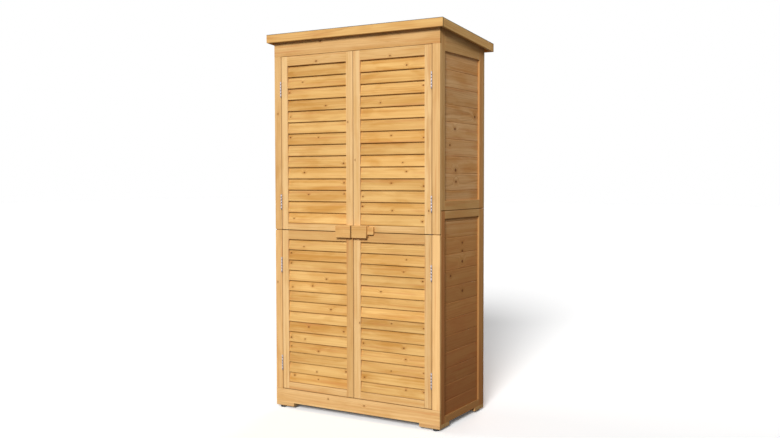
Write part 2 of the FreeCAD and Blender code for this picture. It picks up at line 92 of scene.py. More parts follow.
Value = Union[float, Sequence[float], "Wire"]


# Shaders

def linear(colour: Sequence[float]) -> tuple[float, float, float, float]:
    """A colour as it is seen on a screen, turned into the light values that shaders take.

    Args:
        colour: Red, green and blue from 0 to 255.

    Returns:
        The same colour in linear light, with full alpha.
    """
    shares = [value / 255 for value in colour]
    light = [s / 12.92 if s <= 0.04045 else ((s + 0.055) / 1.055) ** 2.4 for s in shares]
    return (light[0], light[1], light[2], 1.0)


def grey(light: float) -> tuple[float, float, float, float]:
    """A neutral colour of that light."""
    return (light, light, light, 1.0)


class Wire:
    """One output of a shader node, on which arithmetic adds Math nodes."""

    def __init__(self, shader: "Shader", socket: bpy.types.NodeSocket) -> None:
        """Wrap an output socket of a shader."""
        self.shader = shader
        self.socket = socket

    def math(self, operation: str, *values: Value) -> "Wire":
        """A Math node on this wire and further values."""
        return self.shader.node("ShaderNodeMath", {"operation": operation}, (self, *values))

    def swapped(self, operation: str, value: Value) -> "Wire":
        """A Math node with this wire as its second value."""
        return self.shader.node("ShaderNodeMath", {"operation": operation}, (value, self))

    __add__ = partialmethod(math, "ADD")
    __sub__ = partialmethod(math, "SUBTRACT")
    __mul__ = partialmethod(math, "MULTIPLY")
    __truediv__ = partialmethod(math, "DIVIDE")
    __pow__ = partialmethod(math, "POWER")
    __radd__ = partialmethod(swapped, "ADD")
    __rsub__ = partialmethod(swapped, "SUBTRACT")
    __rmul__ = partialmethod(swapped, "MULTIPLY")


class Shader:
    """A material's nodes as they are added."""

    def __init__(self, name: str, world: Optional[bpy.types.World] = None) -> None:
        """Start an empty material, or a world's empty shader.

        Args:
            name: The material's name.
            world: The world, where it isn't a material.
        """
        self.material = world or bpy.data.materials.new(name)
        self.material.use_nodes = True
        self.tree = self.material.node_tree
        self.tree.nodes.clear()

    def node(self, kind: str, settings: Optional[dict] = None,
             values: Union[dict, Sequence[Value]] = (), output: Union[int, str] = 0) -> Wire:
        """Add a node: its settings first, then its sockets.

        Args:
            kind: The node's type.
            settings: Its settings; "stops" holds a ramp's (place, colour) pairs.
            values: What its sockets hold or take a link from, in order or by name.
            output: Which of its outputs to hand back.

        Returns:
            The wire of that output.
        """
        made = self.tree.nodes.new(kind)
        for name, setting in (settings or {}).items():
            if name == "stops":
                for index, (place, colour) in enumerate(setting):
                    if index > 1:
                        made.color_ramp.elements.new(place)
                    made.color_ramp.elements[index].position = place
                    made.color_ramp.elements[index].color = colour
            else:
                setattr(made, name, setting)
        pairs = values.items() if isinstance(values, dict) else enumerate(values)
        for name, value in pairs:
            if isinstance(value, Wire):
                self.tree.links.new(value.socket, made.inputs[name])
            else:
                made.inputs[name].default_value = value
        return Wire(self, made.outputs[output])

    def attribute(self, name: str) -> Wire:
        """A mark that the mesh carries, as a vector."""
        return self.node("ShaderNodeAttribute", {"attribute_name": name}, output="Vector")

    def parts(self, vector: Wire) -> list[Wire]:
        """The three numbers of a vector."""
        first = self.node("ShaderNodeSeparateXYZ", values=(vector,))
        return [Wire(self, socket) for socket in first.socket.node.outputs]

    def point(self, x: Value, y: Value, z: Value) -> Wire:
        """A vector from three numbers."""
        return self.node("ShaderNodeCombineXYZ", values=(x, y, z))

    def noise(self, place: Wire, scale: float, detail: float = 2.0, rough: float = 0.5,
              wave: float = 0.0) -> Wire:
        """Smooth noise from 0 to 1.

        Args:
            place: Where it is read.
            scale: How fine it is.
            detail: How many finer layers are added.
            rough: How strong the finer layers are.
            wave: How far the noise bends itself.

        Returns:
            The noise.
        """
        values = {"Vector": place, "Scale": scale, "Detail": detail, "Roughness": rough,
                  "Distortion": wave}
        return self.node("ShaderNodeTexNoise", values=values)

    def ease(self, value: Wire, start: float, end: float, first: float = 0.0,
             last: float = 1.0) -> Wire:
        """A smooth step from first to last as a value goes from start to end."""
        settings = {"interpolation_type": "SMOOTHSTEP"}
        return self.node("ShaderNodeMapRange", settings, (value, start, end, first, last))

    def mix(self, share: Value, first: Value, second: Value) -> Wire:
        """Two colours mixed, of which share is how much of the second there is."""
        return self.node("ShaderNodeMix", {"data_type": "RGBA"}, {0: share, 6: first, 7: second}, 2)

    def scaled(self, colour: Wire, amount: Value) -> Wire:
        """A colour made lighter or darker."""
        values = {"Vector": colour, "Scale": amount}
        return self.node("ShaderNodeVectorMath", {"operation": "SCALE"}, values)

    def bump(self, strength: float, distance: float, height: Wire) -> Wire:
        """Relief that a height gives the surface."""
        values = {"Strength": strength, "Distance": distance, "Height": height}
        return self.node("ShaderNodeBump", values=values)

    def surface(self, **values: Value) -> bpy.types.Material:
        """Close the material with a Principled shader.

        Args:
            values: Its sockets, with _ for each space.

        Returns:
            The material.
        """
        named = {name.replace("_", " "): value for name, value in values.items()}
        self.close(self.node("ShaderNodeBsdfPrincipled", values=named))
        return self.material

    def close(self, shade: Wire) -> None:
        """Link a shader to the output of the material or the world.

        Args:
            shade: The shader's wire.
        """
        sky = isinstance(self.material, bpy.types.World)
        end = self.tree.nodes.new("ShaderNodeOutputWorld" if sky else "ShaderNodeOutputMaterial")
        self.tree.links.new(shade.socket, end.inputs["Surface"])


@dataclass(frozen=True)
class Grain:
    """A pattern in wood that is drawn out along the fibre.

    along, across and out are how fine it is each way, detail, rough and wave are the noise's own
    settings, and shift sets it apart from other patterns.
    """

    along: float
    across: float
    out: float
    detail: float = 2.0
    rough: float = 0.5
    wave: float = 0.0
    shift: float = 0.0

    def read(self, shader: Shader, place: Sequence[Wire]) -> Wire:
        """Add the pattern's nodes.

        Args:
            shader: The shader.
            place: Place in the log, along the fibre and both ways across it.

        Returns:
            The pattern, from 0 to 1.
        """
        out = place[2] * self.out
        if self.shift:
            out = out + self.shift
        spot = shader.point(place[0] * self.along, place[1] * self.across, out)
        return shader.noise(spot, 1.0, self.detail, self.rough, self.wave)


WANDER = Grain(1.8, 11.0, 11.0)
RIPPLE = Grain(9.0, 70.0, 70.0)
FIBRE = Grain(26.0, 900.0, 900.0, 3.0, 0.6)
BAND = Grain(0.9, 48.0, 48.0)
STREAK = Grain(2.4, 170.0, 170.0, 3.0, 0.6)
PATCH = Grain(6.0, 24.0, 24.0, 3.0, 0.55, 0.5)
CLOUD = Grain(4.2, 9.0, 9.0, 1.0, shift=3.0)
FLUSH = Grain(3.1, 90.0, 60.0, shift=7.0)
PORE = Grain(150.0, 2400.0, 2400.0)


@dataclass(frozen=True)
class PineFinish:
    """Planed softwood under a honey stain, with year rings, knots and fibre.

    pale and warm are the colours between which a board drifts, blush is its redder streaks, late is
    the dense wood of a ring, ring is the width of a year, figure is how strongly rings show, and
    clouds how much broad patches differ. The shares fibre_dark, pore_dark and end_dark say how much
    darker fibre, pores and end grain are, and arris_light how much lighter an eased edge is. The
    narrow edge faces of each timber get painted shade: they are drawn darker and paler, standing in
    for the shade of the recesses they face.
    """

    name: str
    pale: tuple[int, int, int]
    warm: tuple[int, int, int]
    blush: tuple[int, int, int] = (208, 142, 86)
    late: tuple[int, int, int] = (178, 116, 56)
    knot: tuple[int, int, int] = (126, 74, 36)
    bark: tuple[int, int, int] = (84, 46, 22)
    ring: float = 0.0036
    figure: float = 0.40
    rough: float = 0.54
    clouds: float = 0.5
    lift: float = 1.07
    fibre_dark: float = 0.13
    pore_dark: float = 0.08
    end_dark: float = 0.28
    # How far the edge faces are drawn darker and paler, as painted shade.
    edge_painted_shade: float = 0.14
    arris_light: float = 0.05
    edge_shade_paling: float = 0.5
    halo: float = 0.42
    knot_cover: float = 0.92
    knot_long: float = 1.3
    swelling: float = 1.9
    wander: float = 0.024
    ripple: float = 0.0024
    relief: float = 0.5
    relief_depth: float = 0.00022
    sheen: float = 0.06

    def knot_field(self, shader: Shader, mark: str, along: Wire, across: Wire,
                   wobble: Wire) -> tuple[Wire, Wire, Wire]:
        """How far each point is from a knot.

        Args:
            shader: The shader.
            mark: The mesh's mark that holds the knot.
            along: Place along the board.
            across: Place across the board.
            wobble: A small unevenness.

        Returns:
            The distance in knot radii, the swelling that bends the rings, and the knot's own mask.
        """
        centre_along, centre_across, radius = shader.parts(shader.attribute(mark))
        x = (along - centre_along) / self.knot_long
        y = across - centre_across
        distance = ((x * x + y * y) ** 0.5) / radius + wobble
        swell = shader.ease(distance, 0.6, 6.5, 1.0, 0.0) * radius * self.swelling
        return distance, swell, shader.ease(distance, 1.3, 0.8)

    def rings(self, shader: Shader, radius: Wire) -> Wire:
        """Year rings: slow pale growth that ends in a thin dense line, some years denser.

        Args:
            shader: The shader.
            radius: Distance from the heart of the tree.

        Returns:
            How much late wood there is, from 0 to 1.
        """
        year = radius / self.ring
        grown = shader.node("ShaderNodeValToRGB", {"stops": [
            (0.0, grey(0.04)), (0.42, grey(0.14)), (0.84, grey(1.0)), (1.0, grey(0.04))]},
            (year.math("FRACT"),))
        season = shader.node("ShaderNodeTexWhiteNoise", {"noise_dimensions": "1D"},
                             {"W": year.math("FLOOR")})
        return grown * (season * 0.75 + 0.25)

    def tone_with_painted_ground_shade(self, shader: Shader) -> tuple[Wire, Wire, Wire]:
        """The timber's own tone, with painted shade that draws it darker and redder near the
        ground.

        Args:
            shader: The shader.

        Returns:
            Its light, its warmth and how strongly its rings show.
        """
        light, warmth, figure = shader.parts(shader.attribute("tone"))
        painted_ground_shade, redder, _ = shader.parts(shader.attribute("age"))
        height = shader.parts(shader.node("ShaderNodeTexCoord", output="Object"))[2]
        # Painted shade: below a metre the timber is drawn darker and redder towards the ground.
        painted_shade = (1.0 - height).math("MAXIMUM", 0.0) * painted_ground_shade
        return light - painted_shade, warmth + painted_shade * redder, figure

    def stain(self, shader: Shader, log: Sequence[Wire], grown: Sequence[Wire],
              warmth: Wire) -> Wire:
        """The stained wood between its rings and knots.

        Args:
            shader: The shader.
            log: Place in the log.
            grown: The same, bent round the knots.
            warmth: How warm the timber is.

        Returns:
            Its colour.
        """
        drift = (shader.ease(BAND.read(shader, grown), 0.36, 0.64) * 0.34
                 + shader.ease(STREAK.read(shader, grown), 0.36, 0.68) * 0.30
                 + shader.ease(PATCH.read(shader, log), 0.42, 0.70) * 0.46
                 + (CLOUD.read(shader, grown) - 0.5) * self.clouds)
        share = (drift + warmth).math("MAXIMUM", 0.0)
        colour = shader.mix(share.math("MINIMUM", 1.0), linear(self.pale), linear(self.warm))
        red = (shader.ease(FLUSH.read(shader, grown), 0.52, 0.76) * 0.55
               + (share - 1.0).math("MAXIMUM", 0.0) * 0.6)
        return shader.mix(red.math("MINIMUM", 1.0), colour, linear(self.blush))

    def dress(self) -> bpy.types.Material:
        """Write the material.

        Returns:
            The material.
        """
        shader = Shader(self.name)
        bench = shader.attribute("bench")
        place = shader.node("ShaderNodeVectorMath", {"operation": "ADD"},
                            (bench, shader.attribute("pith")))
        along, across, _ = shader.parts(bench)
        x, y, z = shader.parts(place)
        light, warmth, figure = self.tone_with_painted_ground_shade(shader)
        end, arris, edge = shader.parts(shader.attribute("cut"))
        wobble = (shader.noise(place, 240.0) - 0.5) * 0.6
        near, swell_a, knot_a = self.knot_field(shader, "knot_a", along, across, wobble)
        next_near, swell_b, knot_b = self.knot_field(shader, "knot_b", along, across, wobble)
        swell = swell_a + swell_b
        knots = knot_a + knot_b
        wander = (WANDER.read(shader, (x, y, z)) - 0.5) * self.wander
        ripple = (RIPPLE.read(shader, (x, y, z)) - 0.5) * self.ripple
        rings = self.rings(shader, ((y * y + z * z) ** 0.5) + wander + ripple + swell) * figure
        grown = (x, y + swell * 2.0, z)
        fibre = FIBRE.read(shader, grown)
        pore = shader.ease(PORE.read(shader, grown), 0.66, 0.8)
        # Edge faces are drawn paler here and darker below: painted shade of the recesses they face.
        colour = self.stain(shader, (x, y, z), grown, warmth - edge * self.edge_shade_paling)
        colour = shader.mix(rings * self.figure, colour, linear(self.late))
        halo = shader.ease(near, 4.2, 1.0) + shader.ease(next_near, 4.2, 1.0)
        colour = shader.mix(halo * self.halo, colour, linear(self.late))
        core = shader.ease(near.math("MINIMUM", next_near), 0.95, 0.55)
        brown = shader.mix(core, linear(self.bark), linear(self.knot))
        colour = shader.mix(knots.math("MINIMUM", 1.0) * self.knot_cover, colour, brown)
        # The last factor darkens the edge faces as painted shade.
        shade = (light * (self.lift - fibre * self.fibre_dark - pore * self.pore_dark)
                 * (1.0 - end * self.end_dark) * (1.0 + arris * self.arris_light)
                 * (1.0 - edge * self.edge_painted_shade))
        relief = rings * 0.5 + fibre * 0.45 - pore * 0.3 + knots * 0.5
        gloss = (self.rough + fibre * 0.12 - rings * 0.08) + end * 0.2
        bump = shader.bump(self.relief, self.relief_depth, relief)
        return shader.surface(Base_Color=shader.scaled(colour, shade), Roughness=gloss,
                              Specular_IOR_Level=self.sheen, Normal=bump)


@dataclass(frozen=True)
class SteelFinish:
    """Zinc plated steel: bright, finely brushed, a little spangled."""

    name: str
    colour: tuple[int, int, int] = (190, 182, 186)
    dull: tuple[int, int, int] = (160, 153, 157)
    rough: float = 0.60

    def dress(self) -> bpy.types.Material:
        """Write the material.

        Returns:
            The material.
        """
        shader = Shader(self.name)
        place = shader.node("ShaderNodeTexCoord", output="Object")
        x, y, z = shader.parts(place)
        cloud = shader.noise(place, 240.0, 3.0, 0.6)
        brush = shader.noise(shader.point(x * 5200.0, y * 5200.0, z * 260.0), 1.0, 2.0)
        colour = shader.mix(shader.ease(cloud, 0.38, 0.72), linear(self.colour),
                            linear(self.dull))
        return shader.surface(Base_Color=colour, Metallic=1.0,
                              Normal=shader.bump(0.35, 0.00005, brush),
                              Roughness=cloud * 0.22 + brush * 0.1 + self.rough - 0.14)


@dataclass(frozen=True)
class FeltFinish:
    """Grey mineral roofing felt: stone chips rolled into a matt dark sheet."""

    name: str
    pale: tuple[int, int, int] = (134, 138, 138)
    dark: tuple[int, int, int] = (72, 76, 77)
    chips: float = 700.0

    def dress(self) -> bpy.types.Material:
        """Write the material.

        Returns:
            The material.
        """
        shader = Shader(self.name)
        place = shader.node("ShaderNodeTexCoord", output="Object")
        settings = {"feature": "F1", "voronoi_dimensions": "3D"}
        values = {"Vector": place, "Scale": self.chips}
        chip = shader.node("ShaderNodeTexVoronoi", settings, values, "Color")
        depth = shader.node("ShaderNodeTexVoronoi", settings, values, "Distance")
        chip_light = shader.parts(chip)[0]
        worn = shader.noise(place, 9.0, 4.0, 0.6)
        colour = shader.mix(chip_light * 0.8 + worn * 0.4 - 0.1, linear(self.dark),
                            linear(self.pale))
        bump = shader.bump(0.7, 0.0006, depth * -1.0 + worn * 0.3)
        return shader.surface(Base_Color=colour, Roughness=worn * 0.1 + 0.85, Normal=bump,
                              Specular_IOR_Level=0.3)


@dataclass(frozen=True)
class PlasticFinish:
    """Black moulded plastic with a fine spark texture and scuffs at the foot."""

    name: str
    colour: tuple[int, int, int] = (16, 16, 17)
    scuffed: tuple[int, int, int] = (44, 43, 41)

    def dress(self) -> bpy.types.Material:
        """Write the material.

        Returns:
            The material.
        """
        shader = Shader(self.name)
        place = shader.node("ShaderNodeTexCoord", output="Object")
        grain = shader.noise(place, 1600.0, 2.0)
        scuff = shader.noise(place, 180.0, 3.0, 0.65)
        height = shader.parts(place)[2]
        worn = shader.ease(scuff, 0.5, 0.75) * shader.ease(height, 0.004, 0.0)
        colour = shader.mix(worn, linear(self.colour), linear(self.scuffed))
        return shader.surface(Base_Color=colour, Roughness=worn * 0.25 + 0.42,
                              Normal=shader.bump(0.4, 0.0001, grain))


Finish = Union[PineFinish, SteelFinish, FeltFinish, PlasticFinish]

FINISHES: dict[str, Finish] = {
    "door_frame": PineFinish("door frame pine", (243, 202, 143), (224, 176, 110)),
    "door_slats": PineFinish("door slat pine", (237, 192, 121), (206, 150, 76), clouds=1.1),
    "frame_timber": PineFinish("frame pine", (237, 193, 132), (214, 163, 99),
                               blush=(208, 138, 80)),
    "inner_timber": PineFinish("inner pine", (233, 193, 138), (216, 166, 106)),
    "latch_timber": PineFinish("latch pine", (232, 184, 118), (212, 158, 90)),
    "roof_timber": PineFinish("roof pine", (241, 196, 126), (222, 168, 98)),
    "wall_boards": PineFinish("wall board pine", (232, 188, 134), (208, 150, 88),
                              blush=(196, 122, 70), ring=0.0040, figure=0.48),
    "roof_felt": FeltFinish("mineral roofing felt"),
    "hinge_steel": SteelFinish("hinge zinc"),
    "steel_plate": SteelFinish("plate zinc", rough=0.46),
    "screw_steel": SteelFinish("screw zinc", (212, 204, 184), (150, 144, 128), 0.26),
    "glide_plastic": PlasticFinish("glide plastic"),
}


# Timber

class Lie(Enum):
    """How a timber lies: the ways of its length, its width and its face."""

    ACROSS_FRONT = ((1, 0, 0), (0, 0, 1), (0, -1, 0))
    UPRIGHT_FRONT = ((0, 0, 1), (-1, 0, 0), (0, -1, 0))
    ACROSS_REAR = ((-1, 0, 0), (0, 0, 1), (0, 1, 0))
    UPRIGHT_REAR = ((0, 0, 1), (1, 0, 0), (0, 1, 0))
    ACROSS_RIGHT = ((0, 1, 0), (0, 0, 1), (1, 0, 0))
    UPRIGHT_RIGHT = ((0, 0, 1), (0, -1, 0), (1, 0, 0))
    ACROSS_LEFT = ((0, -1, 0), (0, 0, 1), (-1, 0, 0))
    UPRIGHT_LEFT = ((0, 0, 1), (0, 1, 0), (-1, 0, 0))
    FLAT_ACROSS = ((1, 0, 0), (0, 1, 0), (0, 0, 1))
    FLAT_DEEP = ((0, 1, 0), (-1, 0, 0), (0, 0, 1))

    def turn(self) -> Matrix:
        """What turns a timber from the bench to the way that it lies."""
        return Matrix(self.value).transposed().to_4x4()


@dataclass(frozen=True)
class Stock:
    """One timber as it was picked: where in the log it was sawn, its tone, the painted shade that
    darkens it towards the ground, and its knots.
    """

    pith: Vector
    tone: Vector
    age: Vector
    knots: tuple[Vector, Vector] = (NO_KNOT, NO_KNOT)


@dataclass(frozen=True)
class Stack:
    """The stack that a piece's timbers are picked from.

    light and warmth are its middle tone, spread how much timbers differ, and knotty how likely a
    timber is to have a knot. figure is how strongly its rings show. Its painted ground shade is how
    much darker its timbers are drawn at the ground than a metre up, standing in for shade, and
    redder how much warmth that painted shade adds. The ranges are what one timber is drawn between:
    its place in the log and its distance from the heart in metres, and its knots as shares of its
    length and its width.
    """

    light: float = 1.0
    warmth: float = 0.0
    spread: float = 0.04
    knotty: float = 0.4
    figure: float = 1.0
    painted_ground_shade: float = 0.0
    redder: float = 3.4
    log_run: ClassVar[tuple[float, float]] = (0, 40)
    heart_reach: ClassVar[tuple[float, float]] = (0.035, 0.12)
    figure_range: ClassVar[tuple[float, float]] = (0.7, 1.2)
    knot_along: ClassVar[tuple[float, float]] = (-0.45, 0.45)
    knot_across: ClassVar[tuple[float, float]] = (-0.32, 0.32)
    knot_radius: ClassVar[tuple[float, float]] = (0.0025, 0.005)

    def pick(self, seed: str, size: Vector, knots: Optional[Sequence[Vector]] = None) -> Stock:
        """Pick one timber.

        Args:
            seed: What makes this pick different from others.
            size: The timber's size on the bench.
            knots: Its knots where they are known, or None to leave them to chance.

        Returns:
            The timber.
        """
        chance = random.Random(seed)
        angle = chance.uniform(0, 2 * math.pi)
        reach = chance.uniform(*self.heart_reach)
        pith = Vector((chance.uniform(*self.log_run), reach * math.cos(angle),
                       reach * math.sin(angle)))
        tone = Vector((self.light + chance.gauss(0, self.spread),
                       self.warmth + chance.gauss(0, 2 * self.spread),
                       self.figure * chance.uniform(*self.figure_range)))
        found = list(knots) if knots is not None else []
        while knots is None and len(found) < 2 and chance.random() < self.knotty:
            found.append(Vector((size.x * chance.uniform(*self.knot_along),
                                 size.y * chance.uniform(*self.knot_across),
                                 chance.uniform(*self.knot_radius))))
        found += [NO_KNOT, NO_KNOT]
        return Stock(pith, tone, Vector((self.painted_ground_shade, self.redder, 0)), (found[0], found[1]))


NO_TIMBER = Stock(Vector(), Vector((1, 0, 1)), Vector())
STACKS = {
    # The roof deck boards are drawn dark and warm as painted shade under the eaves.
    "roof_deck_boards": Stack(0.68, 0.3, 0.05), "roof_bearers": Stack(0.95),
    "roof_fascia": Stack(1.02, 0.0, 0.03, 0.0), "head_rail": Stack(0.94),
    "frieze_board": Stack(0.97, 0.1, 0.0), "bottom_board": Stack(1.0, -0.05, 0.0),
    "door_stop_strip": Stack(0.95), "foot_blocks": Stack(0.95, 0.05, 0.03, 0.0),
    "floor_bearers": Stack(0.92), "floor_boards": Stack(0.95, 0.0, 0.04, 0.6),
    "shelf_lower": Stack(0.97, 0.0, 0.04, 0.6), "shelf_upper": Stack(0.97, 0.0, 0.04, 0.6),
    "shelf_cleats": Stack(0.94), "latch_guide_block": Stack(1.0, 0.1),
    "latch_keeper_block": Stack(0.98, 0.1), "latch_bar": Stack(1.04, -0.1),
    # The tongue is drawn dark and warm as painted shade at the back of the seam.
    "seam_tongue": Stack(0.72, 0.5),
}


def fresh_shape() -> BMesh:
    """Start an empty mesh that carries the marks of a timber.

    Returns:
        The mesh.
    """
    shape = bmesh.new()
    for mark in BOARD_MARKS:
        shape.verts.layers.float_vector.new(mark)
    shape.faces.layers.float_vector.new("cut")
    return shape


def corners_in(made: Sequence[Element]) -> list[bmesh.types.BMVert]:
    """The corners among the things that an operator made."""
    return [item for item in made if isinstance(item, bmesh.types.BMVert)]


def saw(shape: BMesh, point: Sequence[float], normal: Sequence[float],
        drop: bool) -> list[bmesh.types.BMEdge]:
    """Cut a shape by a plane.

    Args:
        shape: The mesh.
        point: A point of the plane.
        normal: The way that the plane faces.
        drop: Whether what lies in front of the plane comes off.

    Returns:
        The edges that lie in the plane.
    """
    geom = [*shape.verts, *shape.edges, *shape.faces]
    made = bmesh.ops.bisect_plane(shape, geom=geom, dist=SAW_TOUCH, plane_co=point,
                                  plane_no=normal, clear_outer=drop)
    return [item for item in made["geom_cut"] if isinstance(item, bmesh.types.BMEdge)]


def block(size: Vector) -> BMesh:
    """A plain block.

    Args:
        size: Its length, width and thickness.

    Returns:
        The shape on the bench.
    """
    shape = fresh_shape()
    bmesh.ops.create_cube(shape, size=1.0)
    bmesh.ops.scale(shape, vec=size, verts=shape.verts)
    return shape


def ease_edges(shape: BMesh, edges: Sequence[bmesh.types.BMEdge], width: float,
               steps: int) -> None:
    """Round edges over, and mark the new faces as an arris.

    Args:
        shape: The mesh.
        edges: Its edges to round.
        width: How much is taken off.
        steps: How many faces go round the edge.
    """
    made = bmesh.ops.bevel(shape, geom=list(edges), offset=width, offset_type="OFFSET",
                           segments=steps, profile=0.5, affect="EDGES", material=-1)
    cut = shape.faces.layers.float_vector["cut"]
    for face in made["faces"]:
        face.smooth = True
        face[cut] = ARRIS_CUT


def planed(size: Vector, arris: float = 0.0008, steps: int = 2) -> BMesh:
    """A planed timber with its edges eased.

    Args:
        size: Its length, width and thickness.
        arris: How much its edges are eased.
        steps: How many faces go round an edge.

    Returns:
        The shape on the bench.
    """
    shape = block(size)
    ease_edges(shape, shape.edges, arris, steps)
    return shape


def milled(outline: Sequence[tuple[float, float]], length: float, arris: float = 0.0003,
           steps: int = 1) -> BMesh:
    """A timber run through a moulder.

    Args:
        outline: Its section, as (across, out) points counter-clockwise.
        length: Its length.
        arris: How much its edges are eased.
        steps: How many faces go round an edge.

    Returns:
        The shape on the bench.
    """
    shape = fresh_shape()
    corners = [shape.verts.new((-length / 2, across, out)) for across, out in outline]
    end = bmesh.ops.contextual_create(shape, geom=corners)["faces"]
    pushed = bmesh.ops.extrude_face_region(shape, geom=end, use_keep_orig=True)
    bmesh.ops.translate(shape, vec=(length, 0, 0), verts=corners_in(pushed["geom"]))
    bmesh.ops.recalc_face_normals(shape, faces=shape.faces)
    if arris:
        sharp = [edge for edge in shape.edges if edge.calc_face_angle(0.0) > SHARP_ANGLE]
        ease_edges(shape, sharp, arris, steps)
    return shape


def turned(profile: Sequence[tuple[float, float]], steps: int, closed: bool = False) -> BMesh:
    """A shape turned round Z.

    Args:
        profile: Its (radius, height) points from the foot up, or round a ring's section.
        steps: How many faces go round it.
        closed: Whether the profile is a ring's whole section.

    Returns:
        The shape, its axis through the origin.
    """
    shape = fresh_shape()
    corners = [shape.verts.new((radius, 0, height)) for radius, height in profile]
    pairs = list(zip(corners, corners[1:] + corners[:1]))
    edges = [shape.edges.new(pair) for pair in (pairs if closed else pairs[:-1])]
    bmesh.ops.spin(shape, geom=corners + edges, cent=(0, 0, 0), axis=(0, 0, 1), dvec=(0, 0, 0),
                   angle=2 * math.pi, steps=steps, use_merge=True, use_duplicate=False)
    bmesh.ops.remove_doubles(shape, verts=shape.verts, dist=TOUCH)
    rims = [edge for edge in shape.edges if edge.is_boundary]
    if rims:
        bmesh.ops.holes_fill(shape, edges=rims, sides=0)
    bmesh.ops.recalc_face_normals(shape, faces=shape.faces)
    for face in shape.faces:
        face.smooth = abs(face.normal.z) < FACING
    return shape


def solids(node: str) -> list[Box]:
    """Boxes of a node's separate solids.

    Args:
        node: The node's name.

    Returns:
        Lowest and highest corners, from the ground up and from left to right.
    """
    copy = bmesh.new()
    copy.from_mesh(frame["nodes"][node].data)
    bmesh.ops.remove_doubles(copy, verts=copy.verts, dist=TOUCH)
    left = set(copy.verts)
    boxes = []
    while left:
        island = [left.pop()]
        for vertex in island:
            for edge in vertex.link_edges:
                other = edge.other_vert(vertex)
                if other in left:
                    left.remove(other)
                    island.append(other)
        spans = list(zip(*(vertex.co for vertex in island)))
        boxes.append((Vector(map(min, spans)), Vector(map(max, spans))))
    copy.free()
    return sorted(boxes, key=lambda box: [round(box[0][axis], 4) for axis in (2, 0, 1)])


def seat(box: Box, lie: Lie, slope: float = 0.0) -> tuple[Vector, Matrix]:
    """Bench size and place of a timber that fills a box.

    Args:
        box: The box.
        lie: How the timber lies.
        slope: How much it falls for each metre to the rear.

    Returns:
        Its size on the bench, and what carries it from there to its place.
    """
    span = box[1] - box[0]
    span.z -= slope * span.y
    ways = [Vector(way) for way in lie.value]
    size = Vector([abs(way.dot(span)) for way in ways])
    lean = Matrix.Identity(4)
    lean[2][1] = -slope
    return size, Matrix.Translation((box[0] + box[1]) / 2) @ lean @ lie.turn()


def knots_on(place: Matrix, size: Vector,
             seen: Optional[Sequence[Sequence[float]]]) -> Optional[list[Vector]]:
    """The knots that fall on the face of one timber.

    Args:
        place: What carries the timber from the bench to its place.
        size: Its size on the bench.
        seen: Knots of that side of the cabinet, as (place along the wall, height, radius), or None
            where they aren't known.

    Returns:
        Their places on the bench and their radii, or None.
    """
    if seen is None:
        return None
    back = place.inverted()
    along = 0 if abs(place.col[2].y) > FACING else 1
    found = []
    for at, height, radius in seen:
        point = place.translation.copy()
        point[along] = at
        point.z = height
        spot = back @ point
        if abs(spot.x) < size.x / 2 and abs(spot.y) < size.y / 2:
            found.append(Vector((spot.x, spot.y, radius)))
    return found


def put_in_scene(name: str, data: bpy.types.ID) -> bpy.types.Object:
    """Make an object of a mesh, a lamp or a camera.

    Args:
        name: The object's name.
        data: What it shows.

    Returns:
        The object.
    """
    item = bpy.data.objects.new(name, data)
    bpy.context.scene.collection.objects.link(item)
    return item


class Piece:
    """One finished piece, which stands for a node of the frame."""

    materials: ClassVar[dict[str, bpy.types.Material]] = {}

    def __init__(self, node: str) -> None:
        """Start a piece.

        Args:
            node: The node that it stands for.
        """
        self.node = node
        self.name = node.replace("_", "-")
        self.mesh = fresh_shape()
        self.count = 0

    def add(self, shape: BMesh, place: Matrix, stock: Optional[Stock] = None,
            trims: Sequence[Plane] = ()) -> None:
        """Trim a shape, mark its timber, carry it to its place and join it to the piece.

        Args:
            shape: The shape on the bench; it is used up.
            place: Where it goes.
            stock: The timber that it is made of, or None for another material.
            trims: Planes in the cabinet past which it is sawn off.
        """
        back = place.inverted()
        flat = place.to_3x3().transposed()
        for point, normal in trims:
            rim = saw(shape, back @ point, flat @ normal, drop=True)
            if rim:
                bmesh.ops.contextual_create(shape, geom=rim)
        bmesh.ops.recalc_face_normals(shape, faces=shape.faces)
        stock = stock or NO_TIMBER
        values = (stock.pith, stock.tone, stock.age, *stock.knots)
        layers = [shape.verts.layers.float_vector[mark] for mark in BOARD_MARKS]
        for vertex in shape.verts:
            vertex[layers[0]] = vertex.co
            for layer, value in zip(layers[1:], values):
                vertex[layer] = value
        cut = shape.faces.layers.float_vector["cut"]
        for face in shape.faces:
            if abs(face.normal.x) > FACING:
                face[cut] = END_CUT
            # Narrow edge faces are marked for painted shade.
            elif abs(face.normal.y) > FACING:
                face[cut] = SHADED_EDGE_CUT
        bmesh.ops.transform(shape, matrix=place, verts=shape.verts)
        spare = bpy.data.meshes.new("spare")
        shape.to_mesh(spare)
        self.mesh.from_mesh(spare)
        bpy.data.meshes.remove(spare)
        shape.free()
        self.count += 1

    def done(self) -> None:
        """Turn the piece into an object, give it its finish and hang it on its body."""
        slot = SLOTS[self.node]
        if slot not in self.materials:
            self.materials[slot] = FINISHES[slot].dress()
        mesh = bpy.data.meshes.new(self.name)
        self.mesh.to_mesh(mesh)
        self.mesh.free()
        mesh.materials.append(self.materials[slot])
        piece = put_in_scene(self.name, mesh)
        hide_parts(self.node)
        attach(piece, frame["nodes"][self.node]["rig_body"])
        LOG.info("%s: %d parts, %d faces", self.name, self.count, len(mesh.polygons))


